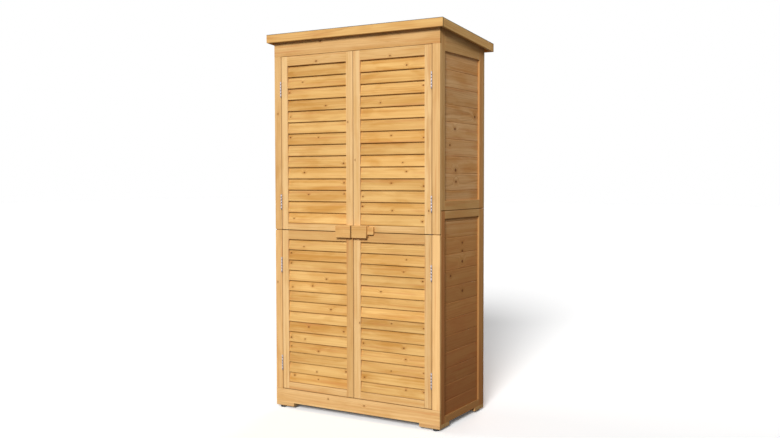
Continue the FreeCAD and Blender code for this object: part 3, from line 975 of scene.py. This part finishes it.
def plain_timbers(node: str, lie: Lie, stack: Optional[Stack] = None, slope: float = 0.0,
                  trims: Sequence[Plane] = (), shorten: float = 0.0,
                  seen: Optional[Sequence[Sequence[float]]] = None, arris: float = 0.0008,
                  tones: Sequence[tuple[float, float]] = (),
                  tongues: Sequence[Box] = ()) -> None:
    """Make a piece whose solids are planed timbers.

    Args:
        node: The node that it stands for.
        lie: How its timbers lie.
        stack: What they are picked from, or None for the node's own stack.
        slope: How much they fall for each metre to the rear.
        trims: Planes past which they are sawn off.
        shorten: How much of each end is a hidden tenon, which is left off.
        seen: The knots on that side of the cabinet, or None to leave them to chance.
        arris: How much the edges are eased.
        tones: Light and warmth added to each timber, in their order.
        tongues: Boxes of loose tongues that close the seam above it.
    """
    stack = stack or STACKS[node]
    piece = Piece(node)
    for index, box in enumerate(solids(node)):
        size, place = seat(box, lie, slope)
        size.x -= 2 * shorten
        stock = stack.pick(f"{node} {index}", size, knots_on(place, size, seen))
        if index < len(tones):
            stock.tone.xy += Vector(tones[index])
        piece.add(planed(size, arris), place, stock, trims)
    for box in tongues:
        size, place = seat(box, lie)
        stock = STACKS["seam_tongue"].pick(f"{node} tongue", size, ())
        piece.add(planed(size, TONGUE_EDGE, steps=1), place, stock)
    piece.done()


def seam_tongue(below: str, above: str, whole: str, setback: float = 0.0035) -> list[Box]:
    """A loose tongue between two panels, so far back that their seam stays dark.

    Args:
        below: A node whose top is the seam's foot.
        above: A node whose foot is the seam's top.
        whole: The node along which the tongue runs.
        setback: How far it stands back from the faces.

    Returns:
        The tongue's box, in a list.
    """
    foot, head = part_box(below)[1].z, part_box(above)[0].z
    low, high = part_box(whole)
    inset = Vector((setback, setback, 0))
    return [(Vector((low.x, low.y, foot)) + inset, Vector((high.x, high.y, head)) - inset)]


# The cabinet's parts

@dataclass
class Roof:
    """Roof boards, their felt, the fascia boards round them and the bearers below."""

    fall: float = 0.042 / 0.472
    felt: float = 0.002
    felt_edge: float = 0.0007
    deck: float = 0.010

    def under(self, y: float) -> float:
        """Height of the underside of the roof boards at depth y."""
        low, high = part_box("roof_felt")
        return high.z - self.fall * (y - low.y) - self.felt - self.deck

    def trim(self) -> Plane:
        """The plane that walls and posts are sawn off at."""
        return Vector((0, 0, self.under(0))), Vector((0, self.fall, 1)).normalized()

    def cover(self) -> None:
        """Make the felt, as a sheet with soft edges that follows the boards."""
        piece = Piece("roof_felt")
        size, place = seat(solids("roof_felt")[0], Lie.FLAT_ACROSS, self.fall)
        piece.add(planed(size, self.felt_edge, steps=3), place)
        piece.done()

    def build(self) -> None:
        """Make every piece of the roof."""
        self.cover()
        plain_timbers("roof_deck_boards", Lie.FLAT_ACROSS, slope=self.fall)
        plain_timbers("roof_bearers", Lie.FLAT_DEEP, slope=self.fall)
        for side in ("front", "rear", "left", "right"):
            plain_timbers(f"roof_fascia_{side}", Lie[f"ACROSS_{side.upper()}"],
                          STACKS["roof_fascia"], self.fall)


@dataclass
class FrontFrame:
    """Posts, frieze and bottom board round the doors, and the rail and strip that stop them."""

    roof: Roof
    door_back: float = -0.192
    rebate_gap: float = 0.0005
    head_edge: float = 0.0008
    post_edge: float = 0.0014
    posts: dict[str, tuple[float, float]] = field(default_factory=lambda: {
        "upper_left": (0.97, -0.05), "lower_left": (1.02, -0.15),
        "upper_right": (1.0, -0.05), "lower_right": (1.12, -0.35)})

    def head_rail(self) -> None:
        """Make the rail behind the frieze, with a rebate for the doors' tops."""
        piece = Piece("head_rail")
        box = solids("head_rail")[0]
        size, place = seat(box, Lie.ACROSS_FRONT)
        half_high = size.y / 2
        half_deep = size.z / 2
        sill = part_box("frieze_board")[0].z - (box[0].z + box[1].z) / 2
        step = (box[0].y + box[1].y) / 2 - (self.door_back + self.rebate_gap)
        outline = [(half_high, half_deep), (sill, half_deep), (sill, step), (-half_high, step),
                   (-half_high, -half_deep), (half_high, -half_deep)]
        stock = STACKS["head_rail"].pick("head rail", size)
        piece.add(milled(outline, size.x, self.head_edge, steps=2), place, stock)
        piece.done()

    def build(self) -> None:
        """Make every piece of the front frame."""
        trims = (self.roof.trim(),)
        plain_timbers("frieze_board", Lie.ACROSS_FRONT, trims=trims, seen=FRONT_KNOTS)
        plain_timbers("bottom_board", Lie.ACROSS_FRONT, seen=FRONT_KNOTS)
        for place, (light, warmth) in self.posts.items():
            node = f"front_post_{place}"
            below = "lower" in place
            tongues = seam_tongue(node, node.replace("lower", "upper"), node) if below else ()
            plain_timbers(node, Lie.UPRIGHT_FRONT, Stack(light, warmth, 0.0), seen=FRONT_KNOTS,
                          arris=self.post_edge, tongues=tongues)
        self.head_rail()
        plain_timbers("door_stop_strip", Lie.ACROSS_FRONT)


@dataclass
class BoardedWall:
    """A wall of an upper and a lower panel: stiles, rails and horizontal match boards."""

    roof: Roof
    across: Lie
    upright: Lie
    rails: Sequence[str]
    boards: Sequence[str]
    stiles: str
    seen: Optional[Sequence[Sequence[float]]] = None
    # Both stacks paint shade on the wall's timbers, darker and redder towards the ground.
    frame_stack: Stack = Stack(1.03, 0.35, 0.02, 0.2, painted_ground_shade=0.36)
    stile_tones: Sequence[tuple[float, float]] = ()
    board_stack: Stack = Stack(1.12, 0.10, 0.035, 0.5, 1.15, painted_ground_shade=0.52)
    vee: float = 0.0016
    tongue: float = 0.0040
    tongue_thickness: float = 0.0026
    tenon: float = 0.006
    stile_edge: float = 0.0012

    def match_boards(self, node: str) -> None:
        """Make the boards of one panel, each with veed edges and a tongue.

        Args:
            node: The node of the panel's boards.
        """
        piece = Piece(node)
        boxes = solids(node)
        for index, box in enumerate(boxes):
            size, place = seat(box, self.across)
            low = -size.y / 2
            high = size.y / 2 - (self.tongue if index < len(boxes) - 1 else 0.0)
            face = size.z / 2
            half = self.tongue_thickness / 2
            outline = [(low, -face), (high, -face)]
            if index < len(boxes) - 1:
                outline += [(high, -half), (high + self.tongue, -half),
                            (high + self.tongue, half), (high, half)]
            outline += [(high, face - self.vee), (high - self.vee, face),
                        (low + self.vee, face), (low, face - self.vee)]
            known = knots_on(place, size, self.seen)
            stock = self.board_stack.pick(f"{node} {index}", size, known)
            piece.add(milled(outline, size.x), place, stock)
        piece.done()

    def build(self) -> None:
        """Make every piece of the wall."""
        trims = (self.roof.trim(),)
        plain_timbers(self.stiles, self.upright, self.frame_stack, trims=trims, seen=self.seen,
                      arris=self.stile_edge, tones=self.stile_tones)
        tongues = {}
        if len(self.rails) == 2:
            tongues[self.rails[0]] = seam_tongue(*self.rails, self.stiles)
        for node in self.rails:
            plain_timbers(node, self.across, self.frame_stack, trims=trims, shorten=self.tenon,
                          seen=self.seen, tongues=tongues.get(node, ()))
        for node in self.boards:
            self.match_boards(node)


@dataclass
class Base:
    """Foot blocks on glides, and the floor on its bearers.

    A glide is a little hollow under its foot, as far as the shares hollow and sole of its radius,
    and steps in at its collar, between the shares collar_low and collar_high of its height.
    """

    glide_edge: float = 0.0015
    edge_steps: int = 4
    round_steps: int = 40
    hollow: float = 0.55
    sole: float = 0.6
    hollow_depth: float = 0.0004
    collar_low: float = 0.62
    collar_high: float = 0.66
    collar: float = 0.0006
    block_edge: float = 0.001

    def glides(self) -> None:
        """Turn the four glides, each with a rounded foot and a stepped collar."""
        piece = Piece("foot_glides")
        for low, high in solids("foot_glides"):
            radius = (high.x - low.x) / 2
            tall = high.z - low.z
            edge = self.glide_edge
            turns = [math.pi / 2 * step / self.edge_steps for step in range(self.edge_steps + 1)]
            profile = [(radius * self.hollow, self.hollow_depth), (radius * self.sole, 0.0)]
            profile += [(radius - edge + edge * math.sin(turn), edge - edge * math.cos(turn))
                        for turn in turns]
            profile += [(radius, tall * self.collar_low),
                        (radius - self.collar, tall * self.collar_high),
                        (radius - self.collar, tall)]
            middle = (low + high) / 2
            place = Matrix.Translation((middle.x, middle.y, low.z))
            piece.add(turned(profile, self.round_steps), place)
        piece.done()

    def build(self) -> None:
        """Make every piece of the base."""
        self.glides()
        plain_timbers("foot_blocks", Lie.FLAT_ACROSS, arris=self.block_edge)
        plain_timbers("floor_bearers", Lie.FLAT_DEEP)
        plain_timbers("floor_boards", Lie.FLAT_ACROSS)


@dataclass
class Shelves:
    """Two boarded shelves on their cleats."""

    def build(self) -> None:
        """Make the shelves and the cleats."""
        for level in ("lower", "upper"):
            plain_timbers(f"shelf_{level}", Lie.FLAT_ACROSS)
        plain_timbers("shelf_cleats", Lie.FLAT_DEEP)


@dataclass
class Door:
    """One door of two louvred halves, tied together by plates behind.

    knots gives, for each half, the share along a slat from its left end of the knots that the
    slats have, counted from the top. stiles gives, for each half, the light and warmth added to its
    left and its right stile, and rails the same for its bottom and its top rail.
    """

    side: str
    knots: dict[str, dict[int, Sequence[float]]]
    stiles: dict[str, Sequence[tuple[float, float]]]
    rails: dict[str, Sequence[tuple[float, float]]]
    light: float
    lower_light: float = 0.965
    stile_warmth: float = -0.05
    rail_warmth: float = 0.3
    slat_spread: float = 0.05
    slat_figure: float = 0.9
    knot_rise: tuple[float, float] = (-0.3, 0.1)
    knot_radius: tuple[float, float] = (0.0019, 0.0028)
    front: float = -0.212
    setback: float = 0.0015
    thickness: float = 0.006
    overlap: float = 0.009
    lean: float = 0.010
    housing: float = 0.0048
    entry: float = 0.003
    first_lift: float = 0.0018
    rounding: float = 0.0016
    top_edge: float = 0.0005
    stile_edge: float = 0.0013
    tenon: float = 0.012
    plate_corner: float = 0.004
    plate_edge: float = 0.00025

    def slat(self, size: Vector) -> BMesh:
        """Shape one slat, its lower edges rounded over.

        Args:
            size: Its length, width and thickness.

        Returns:
            The slat on the bench.
        """
        shape = block(size)
        lower = [edge for edge in shape.edges
                 if all(vertex.co.y < 0 for vertex in edge.verts)
                 and edge.verts[0].co.x * edge.verts[1].co.x < 0]
        ease_edges(shape, lower, self.rounding, steps=4)
        upper = [edge for edge in shape.edges if all(vertex.co.y > 0 for vertex in edge.verts)]
        ease_edges(shape, upper, self.top_edge, steps=1)
        return shape

    def slats(self, level: str) -> None:
        """Make the fourteen slats of one half.

        Args:
            level: "lower" or "upper".
        """
        node = f"door_{self.side}_{level}_slats"
        piece = Piece(node)
        boxes = solids(node)
        low = boxes[0][0].z
        high = boxes[-1][1].z
        pitch = (high - low) / len(boxes)
        angle = math.atan(self.lean / pitch)
        up = Vector((0, math.sin(angle), math.cos(angle)))
        out = Vector((0, -math.cos(angle), math.sin(angle)))
        turn = Matrix((Vector((1, 0, 0)), up, out)).transposed().to_4x4()
        spare = self.housing - self.entry
        size = Vector((boxes[0][1].x - boxes[0][0].x - 2 * spare, pitch + self.overlap,
                       self.thickness))
        trims = [(Vector((0, 0, low)), Vector((0, 0, -1))),
                 (Vector((0, 0, high)), Vector((0, 0, 1)))]
        light = self.light * (self.lower_light if level == "lower" else 1.0)
        stack = Stack(light, 0.0, self.slat_spread, 0.0, self.slat_figure)
        for index, box in enumerate(boxes):
            lift = 0.0 if index else self.first_lift
            foot = Vector(((box[0].x + box[1].x) / 2, self.front + self.setback,
                           low + index * pitch + lift))
            middle = foot + up * size.y / 2 - out * size.z / 2
            shares = self.knots[level].get(len(boxes) - index, ())
            chance = random.Random(f"{node} knots {index}")
            knots = [Vector(((share - 0.5) * size.x, chance.uniform(*self.knot_rise) * pitch,
                             chance.uniform(*self.knot_radius))) for share in shares]
            stock = stack.pick(f"{node} {index}", size, knots)
            piece.add(self.slat(size), Matrix.Translation(middle) @ turn, stock, trims)
        piece.done()

    def plates(self) -> None:
        """Make the steel plates that tie the halves together."""
        node = f"door_{self.side}_splice_plates"
        piece = Piece(node)
        for box in solids(node):
            size, place = seat(box, Lie.UPRIGHT_REAR)
            shape = block(size)
            corners = [edge for edge in shape.edges if edge.verts[0].co.z != edge.verts[1].co.z]
            ease_edges(shape, corners, self.plate_corner, steps=6)
            rims = [edge for edge in shape.edges if edge.calc_face_angle(0.0) > SQUARE_ANGLE]
            ease_edges(shape, rims, self.plate_edge, steps=2)
            piece.add(shape, place)
        piece.done()

    def build(self) -> None:
        """Make every piece of the door but its hinges and screws."""
        for level in ("lower", "upper"):
            stem = f"door_{self.side}_{level}"
            plain_timbers(f"{stem}_stiles", Lie.UPRIGHT_FRONT,
                          Stack(self.light, self.stile_warmth, 0.0), seen=FRONT_KNOTS,
                          arris=self.stile_edge, tones=self.stiles.get(level, ()))
            plain_timbers(f"{stem}_rails", Lie.ACROSS_FRONT,
                          Stack(self.light, self.rail_warmth, 0.0), shorten=self.tenon,
                          seen=FRONT_KNOTS, tones=self.rails[level])
            self.slats(level)
        self.plates()


@dataclass
class Hinges:
    """Eight butt hinges: leaves with knuckles, pins with round heads.

    dome gives the rounding of a pin's head, as shares of its radius and its height from the end.
    """

    axis_x: float = 0.3625
    axis_y: float = -0.2154
    knuckle: float = 0.003
    pin: float = 0.0014
    pin_gap: float = 0.00005
    leaf: float = 0.0012
    leaf_edge: float = 0.0002
    tab_edge: float = 0.0001
    knuckle_edge: float = 0.0003
    door_gap: float = 0.003
    gap: float = 0.0004
    lap: float = 0.0004
    height: float = 0.062
    knuckles: int = 5
    head: float = 0.0023
    head_height: float = 0.0018
    head_top: float = 0.92
    head_band: float = 0.8
    dome: Sequence[tuple[float, float]] = ((0.45, 0.0), (0.8, 0.09), (1.0, 0.34))
    steps: int = 20

    def barrel(self, low: float, high: float) -> BMesh:
        """Turn one knuckle.

        Args:
            low: Its foot.
            high: Its top.

        Returns:
            The knuckle, round the hinge's line.
        """
        inner = self.pin + self.pin_gap
        edge = self.knuckle_edge
        profile = [(inner, low), (self.knuckle - edge, low), (self.knuckle, low + edge),
                   (self.knuckle, high - edge), (self.knuckle - edge, high), (inner, high)]
        return turned(profile, self.steps, closed=True)

    def leaves(self, node: str, way: int) -> None:
        """Make the leaves of one node.

        Args:
            node: The node.
            way: 1 for a leaf on a post, or -1 for one on a door.
        """
        piece = Piece(node)
        pitch = self.height / self.knuckles
        for low, high in solids(node):
            side = 1.0 if low.x > 0 else -1.0
            middle = (low.z + high.z) / 2
            foot = middle - self.height / 2
            axis = Vector((side * self.axis_x, self.axis_y, 0))
            clear = self.axis_y + self.knuckle + self.gap
            face = axis.x + side * way * (self.door_gap - self.leaf) / 2
            size = Vector((self.height - 2 * self.gap, high.y - clear, self.leaf))
            turn = Lie.UPRIGHT_RIGHT.turn()
            centre = Vector((face, (high.y + clear) / 2, middle))
            plate = planed(size, self.leaf_edge, steps=1)
            piece.add(plate, Matrix.Translation(centre) @ turn)
            root = self.axis_y + (self.knuckle + self.pin) / 2
            tip = clear + self.lap
            for index in range(0 if way > 0 else 1, self.knuckles, 2):
                start = foot + index * pitch + self.gap / 2
                end = foot + (index + 1) * pitch - self.gap / 2
                piece.add(self.barrel(start, end), Matrix.Translation(axis))
                tab = Vector((end - start, tip - root, self.leaf))
                spot = Vector((face, (tip + root) / 2, (start + end) / 2))
                strap = planed(tab, self.tab_edge, steps=1)
                piece.add(strap, Matrix.Translation(spot) @ turn)
        piece.done()

    def pins(self) -> None:
        """Turn the pins, with a domed head at each end."""
        piece = Piece("hinge_pins")
        for low, high in solids("hinge_pins"):
            bottom, top = low.z, high.z
            tall = self.head_height
            rim = self.head * self.head_top
            band = tall * self.head_band
            dome = [(self.head * share, tall * rise) for share, rise in self.dome]
            profile = [(radius, bottom + rise) for radius, rise in dome]
            profile += [(self.head, bottom + band), (rim, bottom + tall), (self.pin, bottom + tall),
                        (self.pin, top - tall), (rim, top - tall), (self.head, top - band)]
            profile += [(radius, top - rise) for radius, rise in reversed(dome)]
            middle = (low + high) / 2
            piece.add(turned(profile, self.steps), Matrix.Translation((middle.x, middle.y, 0)))
        piece.done()

    def build(self) -> None:
        """Make the leaves and pins of both doors."""
        self.pins()
        self.leaves("hinge_post_leaves", 1)
        self.leaves("hinge_door_leaves_left", -1)
        self.leaves("hinge_door_leaves_right", -1)


@dataclass
class Screws:
    """Countersunk screws with a cross recess."""

    head: float = 0.0024
    shank: float = 0.0013
    sink: float = 0.0011
    point: float = 0.0025
    tip: float = 0.0003
    lip: float = 0.0001
    rim: float = 0.0007
    recess: float = 0.0007
    steps: int = 12

    def screw(self, length: float) -> BMesh:
        """Shape a screw, its head's face at the origin and its point down.

        Args:
            length: How long it is.

        Returns:
            The screw.
        """
        profile = [(self.tip, -length), (self.shank, self.point - length),
                   (self.shank, -self.sink), (self.head, -self.lip), (self.head, 0.0)]
        shape = turned(profile, self.steps)
        face = [face for face in shape.faces if face.normal.z > FACING]
        bmesh.ops.inset_region(shape, faces=face, thickness=self.rim)
        middle = min((face for face in shape.faces if face.normal.z > FACING),
                     key=lambda face: face.calc_center_median().xy.length)
        spokes = bmesh.ops.poke(shape, faces=[middle])["faces"]
        lobes = [spoke for index, spoke in enumerate(spokes) if index % 3 == 0]
        sunk = bmesh.ops.extrude_face_region(shape, geom=lobes)["geom"]
        bmesh.ops.delete(shape, geom=lobes, context="FACES_ONLY")
        bmesh.ops.translate(shape, vec=(0, 0, -self.recess), verts=corners_in(sunk))
        return shape

    def build(self) -> None:
        """Drive every screw of the posts and the doors."""
        for node in ("post_screws", "door_screws_left", "door_screws_right"):
            piece = Piece(node)
            for low, high in solids(node):
                span = high - low
                middle = (low + high) / 2
                if span.x > span.y:
                    out = (1 if node == "post_screws" else -1) * (-1 if middle.x > 0 else 1)
                    face = Vector((high.x if out > 0 else low.x, middle.y, middle.z))
                    aim = Vector((out, 0, 0))
                else:
                    face = Vector((middle.x, high.y, middle.z))
                    aim = Vector((0, 1, 0))
                turn = Vector((0, 0, 1)).rotation_difference(aim).to_matrix().to_4x4()
                piece.add(self.screw(max(span)), Matrix.Translation(face) @ turn)
            piece.done()


@dataclass
class Latch:
    """A keeper block on the left door, a guide block on the right door and the bar in it."""

    block_edge: float = 0.0015
    bar_edge: float = 0.0010
    nose: float = 0.0050
    channel_low: float = 0.7622
    channel_high: float = 0.7940
    channel_front: float = -0.2243
    pocket_end: float = -0.033

    def channel(self, middle: Vector) -> tuple[float, float, float]:
        """Foot, head and floor of the bar's channel, as seen from the middle of a block."""
        return (self.channel_low - middle.z, self.channel_high - middle.z,
                middle.y - self.channel_front)

    def guide(self) -> None:
        """Mill the guide with its channel right through."""
        piece = Piece("latch_guide_block")
        box = solids("latch_guide_block")[0]
        size, place = seat(box, Lie.ACROSS_FRONT)
        middle = (box[0] + box[1]) / 2
        half = size.y / 2
        deep = size.z / 2
        low, high, floor = self.channel(middle)
        outline = [(-half, -deep), (low, -deep), (low, floor), (high, floor), (high, -deep),
                   (half, -deep), (half, deep), (-half, deep)]
        shape = milled(outline, size.x, arris=0.0)
        self.soften(shape, size)
        piece.add(shape, place, STACKS["latch_guide_block"].pick("guide", size, ()))
        piece.done()

    def soften(self, shape: BMesh, size: Vector) -> None:
        """Chamfer the front edges of a block.

        Args:
            shape: The block on the bench.
            size: Its size.
        """
        front = [edge for edge in shape.edges
                 if min(vertex.co.z for vertex in edge.verts) > size.z / 2 - TOUCH]
        ease_edges(shape, front, self.block_edge, steps=2)

    def keeper(self) -> None:
        """Make the keeper, with a pocket that is open at its near end and behind."""
        piece = Piece("latch_keeper_block")
        box = solids("latch_keeper_block")[0]
        size, place = seat(box, Lie.ACROSS_FRONT)
        middle = (box[0] + box[1]) / 2
        shape = block(size)
        low, high, floor = self.channel(middle)
        end = self.pocket_end - middle.x
        cuts = [((0, low, 0), (0, 1, 0)), ((0, high, 0), (0, 1, 0)), ((end, 0, 0), (1, 0, 0)),
                ((0, 0, floor), (0, 0, 1))]
        for point, normal in cuts:
            saw(shape, point, normal, drop=False)
        spots = [(face, face.calc_center_median()) for face in shape.faces]
        mouth = [face for face, spot in spots
                 if low < spot.y < high and spot.x > end and spot.z < floor]
        bmesh.ops.delete(shape, geom=mouth, context="FACES")
        wall = [edge for edge in shape.edges if edge.is_boundary
                and all(abs(vertex.co.x - end) < TOUCH for vertex in edge.verts)]
        pushed = bmesh.ops.extrude_edge_only(shape, edges=wall)["geom"]
        corners = corners_in(pushed)
        bmesh.ops.translate(shape, vec=(0, 0, floor + size.z / 2), verts=corners)
        corners += [vertex for vertex in shape.verts if abs(vertex.co.x - size.x / 2) < TOUCH
                    and abs(vertex.co.z - floor) < TOUCH and vertex.is_boundary]
        bmesh.ops.contextual_create(shape, geom=corners)
        rims = [edge for edge in shape.edges if edge.is_boundary]
        bmesh.ops.holes_fill(shape, edges=rims, sides=0)
        bmesh.ops.recalc_face_normals(shape, faces=shape.faces)
        self.soften(shape, size)
        piece.add(shape, place, STACKS["latch_keeper_block"].pick("keeper", size, ()))
        piece.done()

    def bar(self) -> None:
        """Make the sliding bar, with its outer end rounded for the thumb."""
        piece = Piece("latch_bar")
        size, place = seat(solids("latch_bar")[0], Lie.ACROSS_FRONT)
        shape = block(size)
        nose = [edge for edge in shape.edges
                if all(vertex.co.x > 0 and vertex.co.z > 0 for vertex in edge.verts)]
        ease_edges(shape, nose, self.nose, steps=6)
        rims = [edge for edge in shape.edges if edge.calc_face_angle(0.0) > SQUARE_ANGLE]
        ease_edges(shape, rims, self.bar_edge, steps=2)
        piece.add(shape, place, STACKS["latch_bar"].pick("bar", size, ()))
        piece.done()

    def build(self) -> None:
        """Make the latch."""
        self.keeper()
        self.guide()
        self.bar()


# Floor, light and camera

@dataclass
class Studio:
    """A pale floor, soft studio light and the camera.

    fills gives each weaker light's name, turn and power.
    The floor is nearly white to the camera, and dull to the light that it throws back up, so that
    it keeps the cabinet's shadow and doesn't light the sides from below.
    """

    floor_reach: float = 30.0
    floor_white: float = 1.44
    floor_glow: float = 0.05
    floor_dull: float = 0.22
    floor_rough: float = 0.9
    sky: float = 0.15
    key_power: float = 3.05
    key_turn: float = 18.0
    key_rise: float = 26.0
    key_soft: float = 18.0
    fills: Sequence[tuple[str, float, float]] = (("left fill", -80.0, 1.6),
                                                 ("back fill", -168.0, 1.8))
    fill_rise: float = 5.0
    fill_soft: float = 30.0
    lamp_reach: float = 5.0
    lamp_aim: float = 0.8
    camera_place: tuple[float, float, float] = (1.9834, -3.2766, 0.9875)
    camera_turn: tuple[float, float, float] = (87.43, 0.08, 30.55)
    camera_lens: float = 41.31
    camera_sensor: float = 36.0

    def floor(self) -> None:
        """Lay the floor."""
        shape = bmesh.new()
        bmesh.ops.create_grid(shape, x_segments=1, y_segments=1, size=self.floor_reach)
        mesh = bpy.data.meshes.new("studio-floor")
        shape.to_mesh(mesh)
        shape.free()
        floor = put_in_scene("studio-floor", mesh)
        shader = Shader("studio floor")
        seen = shader.node("ShaderNodeBsdfPrincipled", values={
            "Base Color": grey(self.floor_white), "Roughness": self.floor_rough,
            "Specular IOR Level": 0.0, "Emission Color": grey(1.0),
            "Emission Strength": self.floor_glow})
        dull = shader.node("ShaderNodeBsdfDiffuse", values=(grey(self.floor_dull),))
        camera_ray = shader.node("ShaderNodeLightPath", output="Is Camera Ray")
        shader.close(shader.node("ShaderNodeMixShader", values=(camera_ray, dull, seen)))
        mesh.materials.append(shader.material)

    def world(self) -> None:
        """Light the scene evenly, with white where the sky is seen or mirrored."""
        world = bpy.data.worlds.new("studio")
        bpy.context.scene.world = world
        shader = Shader("studio sky", world)
        seen = shader.node("ShaderNodeLightPath", output="Is Camera Ray")
        for kind in ("Is Glossy Ray", "Is Transmission Ray"):
            seen = seen.math("MAXIMUM", shader.node("ShaderNodeLightPath", output=kind))
        strength = seen * (1.0 - self.sky) + self.sky
        shader.close(shader.node("ShaderNodeBackground", values=(grey(1.0), strength)))

    def sun(self, name: str, turn: float, rise: float, power: float, soft: float) -> None:
        """Hang a lamp so far away that its light is even.

        Args:
            name: Its name.
            turn: Where it stands, in degrees round from the front to the right.
            rise: How high it stands, in degrees.
            power: Its strength.
            soft: How wide it looks, in degrees.
        """
        round_by = math.radians(turn)
        up_by = math.radians(rise)
        way = Vector((math.sin(round_by) * math.cos(up_by), -math.cos(round_by) * math.cos(up_by),
                      math.sin(up_by)))
        middle = Vector((0, 0, self.lamp_aim))
        place = middle + way * self.lamp_reach
        data = bpy.data.lights.new(name, "SUN")
        data.energy = power
        data.angle = math.radians(soft)
        lamp = put_in_scene(name, data)
        lamp.location = place
        lamp.rotation_euler = (middle - place).to_track_quat("-Z", "Y").to_euler()

    def lamps(self) -> None:
        """Hang the key light and the weaker lights that fill the other sides."""
        self.sun("key", self.key_turn, self.key_rise, self.key_power, self.key_soft)
        for name, turn, power in self.fills:
            self.sun(name, turn, self.fill_rise, power, self.fill_soft)

    def camera(self) -> None:
        """Stand the camera where the photograph was taken from."""
        data = bpy.data.cameras.new("camera")
        data.lens = self.camera_lens
        data.sensor_width = self.camera_sensor
        data.sensor_fit = "HORIZONTAL"
        camera = put_in_scene("camera", data)
        camera.location = self.camera_place
        camera.rotation_euler = [math.radians(turn) for turn in self.camera_turn]
        bpy.context.scene.camera = camera

    def build(self) -> None:
        """Set up the studio."""
        bpy.context.scene.view_settings.view_transform = "Standard"
        self.floor()
        self.world()
        self.lamps()
        self.camera()


# Knots and tones that show

FRONT_KNOTS = (
    (-0.381, 1.265, 0.0020), (-0.387, 0.544, 0.0020), (-0.025, 1.219, 0.0018),
    (0.010, 1.064, 0.0017), (0.030, 0.400, 0.0020), (0.349, 0.863, 0.0022),
    (0.361, 1.342, 0.0020), (-0.128, 0.066, 0.0022), (0.050, 0.060, 0.0022),
    (-0.160, 1.556, 0.0032), (-0.181, 1.476, 0.0028), (0.175, 1.473, 0.0024),
)
SIDE_STILES = ((-0.05, 1.4), (-0.03, 0.5), (0.0, 0.0), (-0.02, 0.9))
BACK_STILES = ((-0.10, 0.6),) * 4
LEFT_STILES = {"lower": ((0.0, 0.0), (-0.07, 0.6))}
RIGHT_STILES = {"lower": ((0.0, 0.0), (-0.05, 0.1))}
DOOR_RAILS = {"lower": ((0.0, 0.0), (-0.03, 0.5)), "upper": ((0.0, 0.0), (-0.01, 0.05))}
DOOR_LIGHTS = {"left": 0.99, "right": 0.98}
RIGHT_SIDE_KNOTS = (
    (0.114, 1.243, 0.0050), (-0.070, 1.185, 0.0048), (-0.114, 1.120, 0.0036),
    (-0.064, 1.022, 0.0056), (-0.060, 0.976, 0.0042), (-0.001, 0.728, 0.0040),
    (-0.001, 0.695, 0.0044), (-0.001, 0.652, 0.0052), (-0.107, 0.602, 0.0040),
    (0.000, 0.532, 0.0048),
)
LEFT_KNOTS = {
    "upper": {2: (0.26,), 3: (0.03,), 4: (0.65,), 5: (0.05,), 7: (0.04, 0.52), 9: (0.94,),
              10: (0.28,), 11: (0.94,), 12: (0.35, 0.94), 14: (0.10,)},
    "lower": {1: (0.27,), 2: (0.04,), 3: (0.04,), 4: (0.65,), 5: (0.07, 0.41), 7: (0.72,),
              9: (0.34, 0.93), 10: (0.28, 0.04), 11: (0.04, 0.51), 13: (0.48, 0.96),
              14: (0.09, 0.5)},
}
RIGHT_KNOTS = {
    "upper": {1: (0.72,), 3: (0.96,), 4: (0.32,), 7: (0.48, 0.97), 9: (0.66,), 10: (0.71,),
              11: (0.48, 0.97), 12: (0.04,), 13: (0.5, 0.03), 14: (0.95,)},
    "lower": {2: (0.71,), 3: (0.67,), 4: (0.95,), 5: (0.32,), 8: (0.48, 0.97),
              10: (0.67, 0.04), 11: (0.70,), 12: (0.48, 0.97), 13: (0.06,), 14: (0.7, 0.97)},
}


def main() -> None:
    """Build the cabinet and its studio."""
    logging.basicConfig(level=logging.INFO, format="%(message)s")
    roof = Roof()
    Studio().build()
    roof.build()
    FrontFrame(roof).build()
    for side in ("left", "right"):
        rails = [f"side_rails_{level}_{side}" for level in ("lower", "upper")]
        boards = [f"side_boards_{level}_{side}" for level in ("lower", "upper")]
        seen = RIGHT_SIDE_KNOTS if side == "right" else None
        BoardedWall(roof, Lie[f"ACROSS_{side.upper()}"], Lie[f"UPRIGHT_{side.upper()}"], rails,
                    boards, f"side_stiles_{side}", seen, stile_tones=SIDE_STILES).build()
    BoardedWall(roof, Lie.ACROSS_REAR, Lie.UPRIGHT_REAR, ["back_rails"],
                ["back_boards_lower", "back_boards_upper"], "back_stiles",
                stile_tones=BACK_STILES).build()
    Base().build()
    Shelves().build()
    Door("left", LEFT_KNOTS, LEFT_STILES, DOOR_RAILS, DOOR_LIGHTS["left"]).build()
    Door("right", RIGHT_KNOTS, RIGHT_STILES, DOOR_RAILS, DOOR_LIGHTS["right"]).build()
    Hinges().build()
    Screws().build()
    Latch().build()
    bpy.context.view_layer.update()


if __name__ == "__main__":
    main()
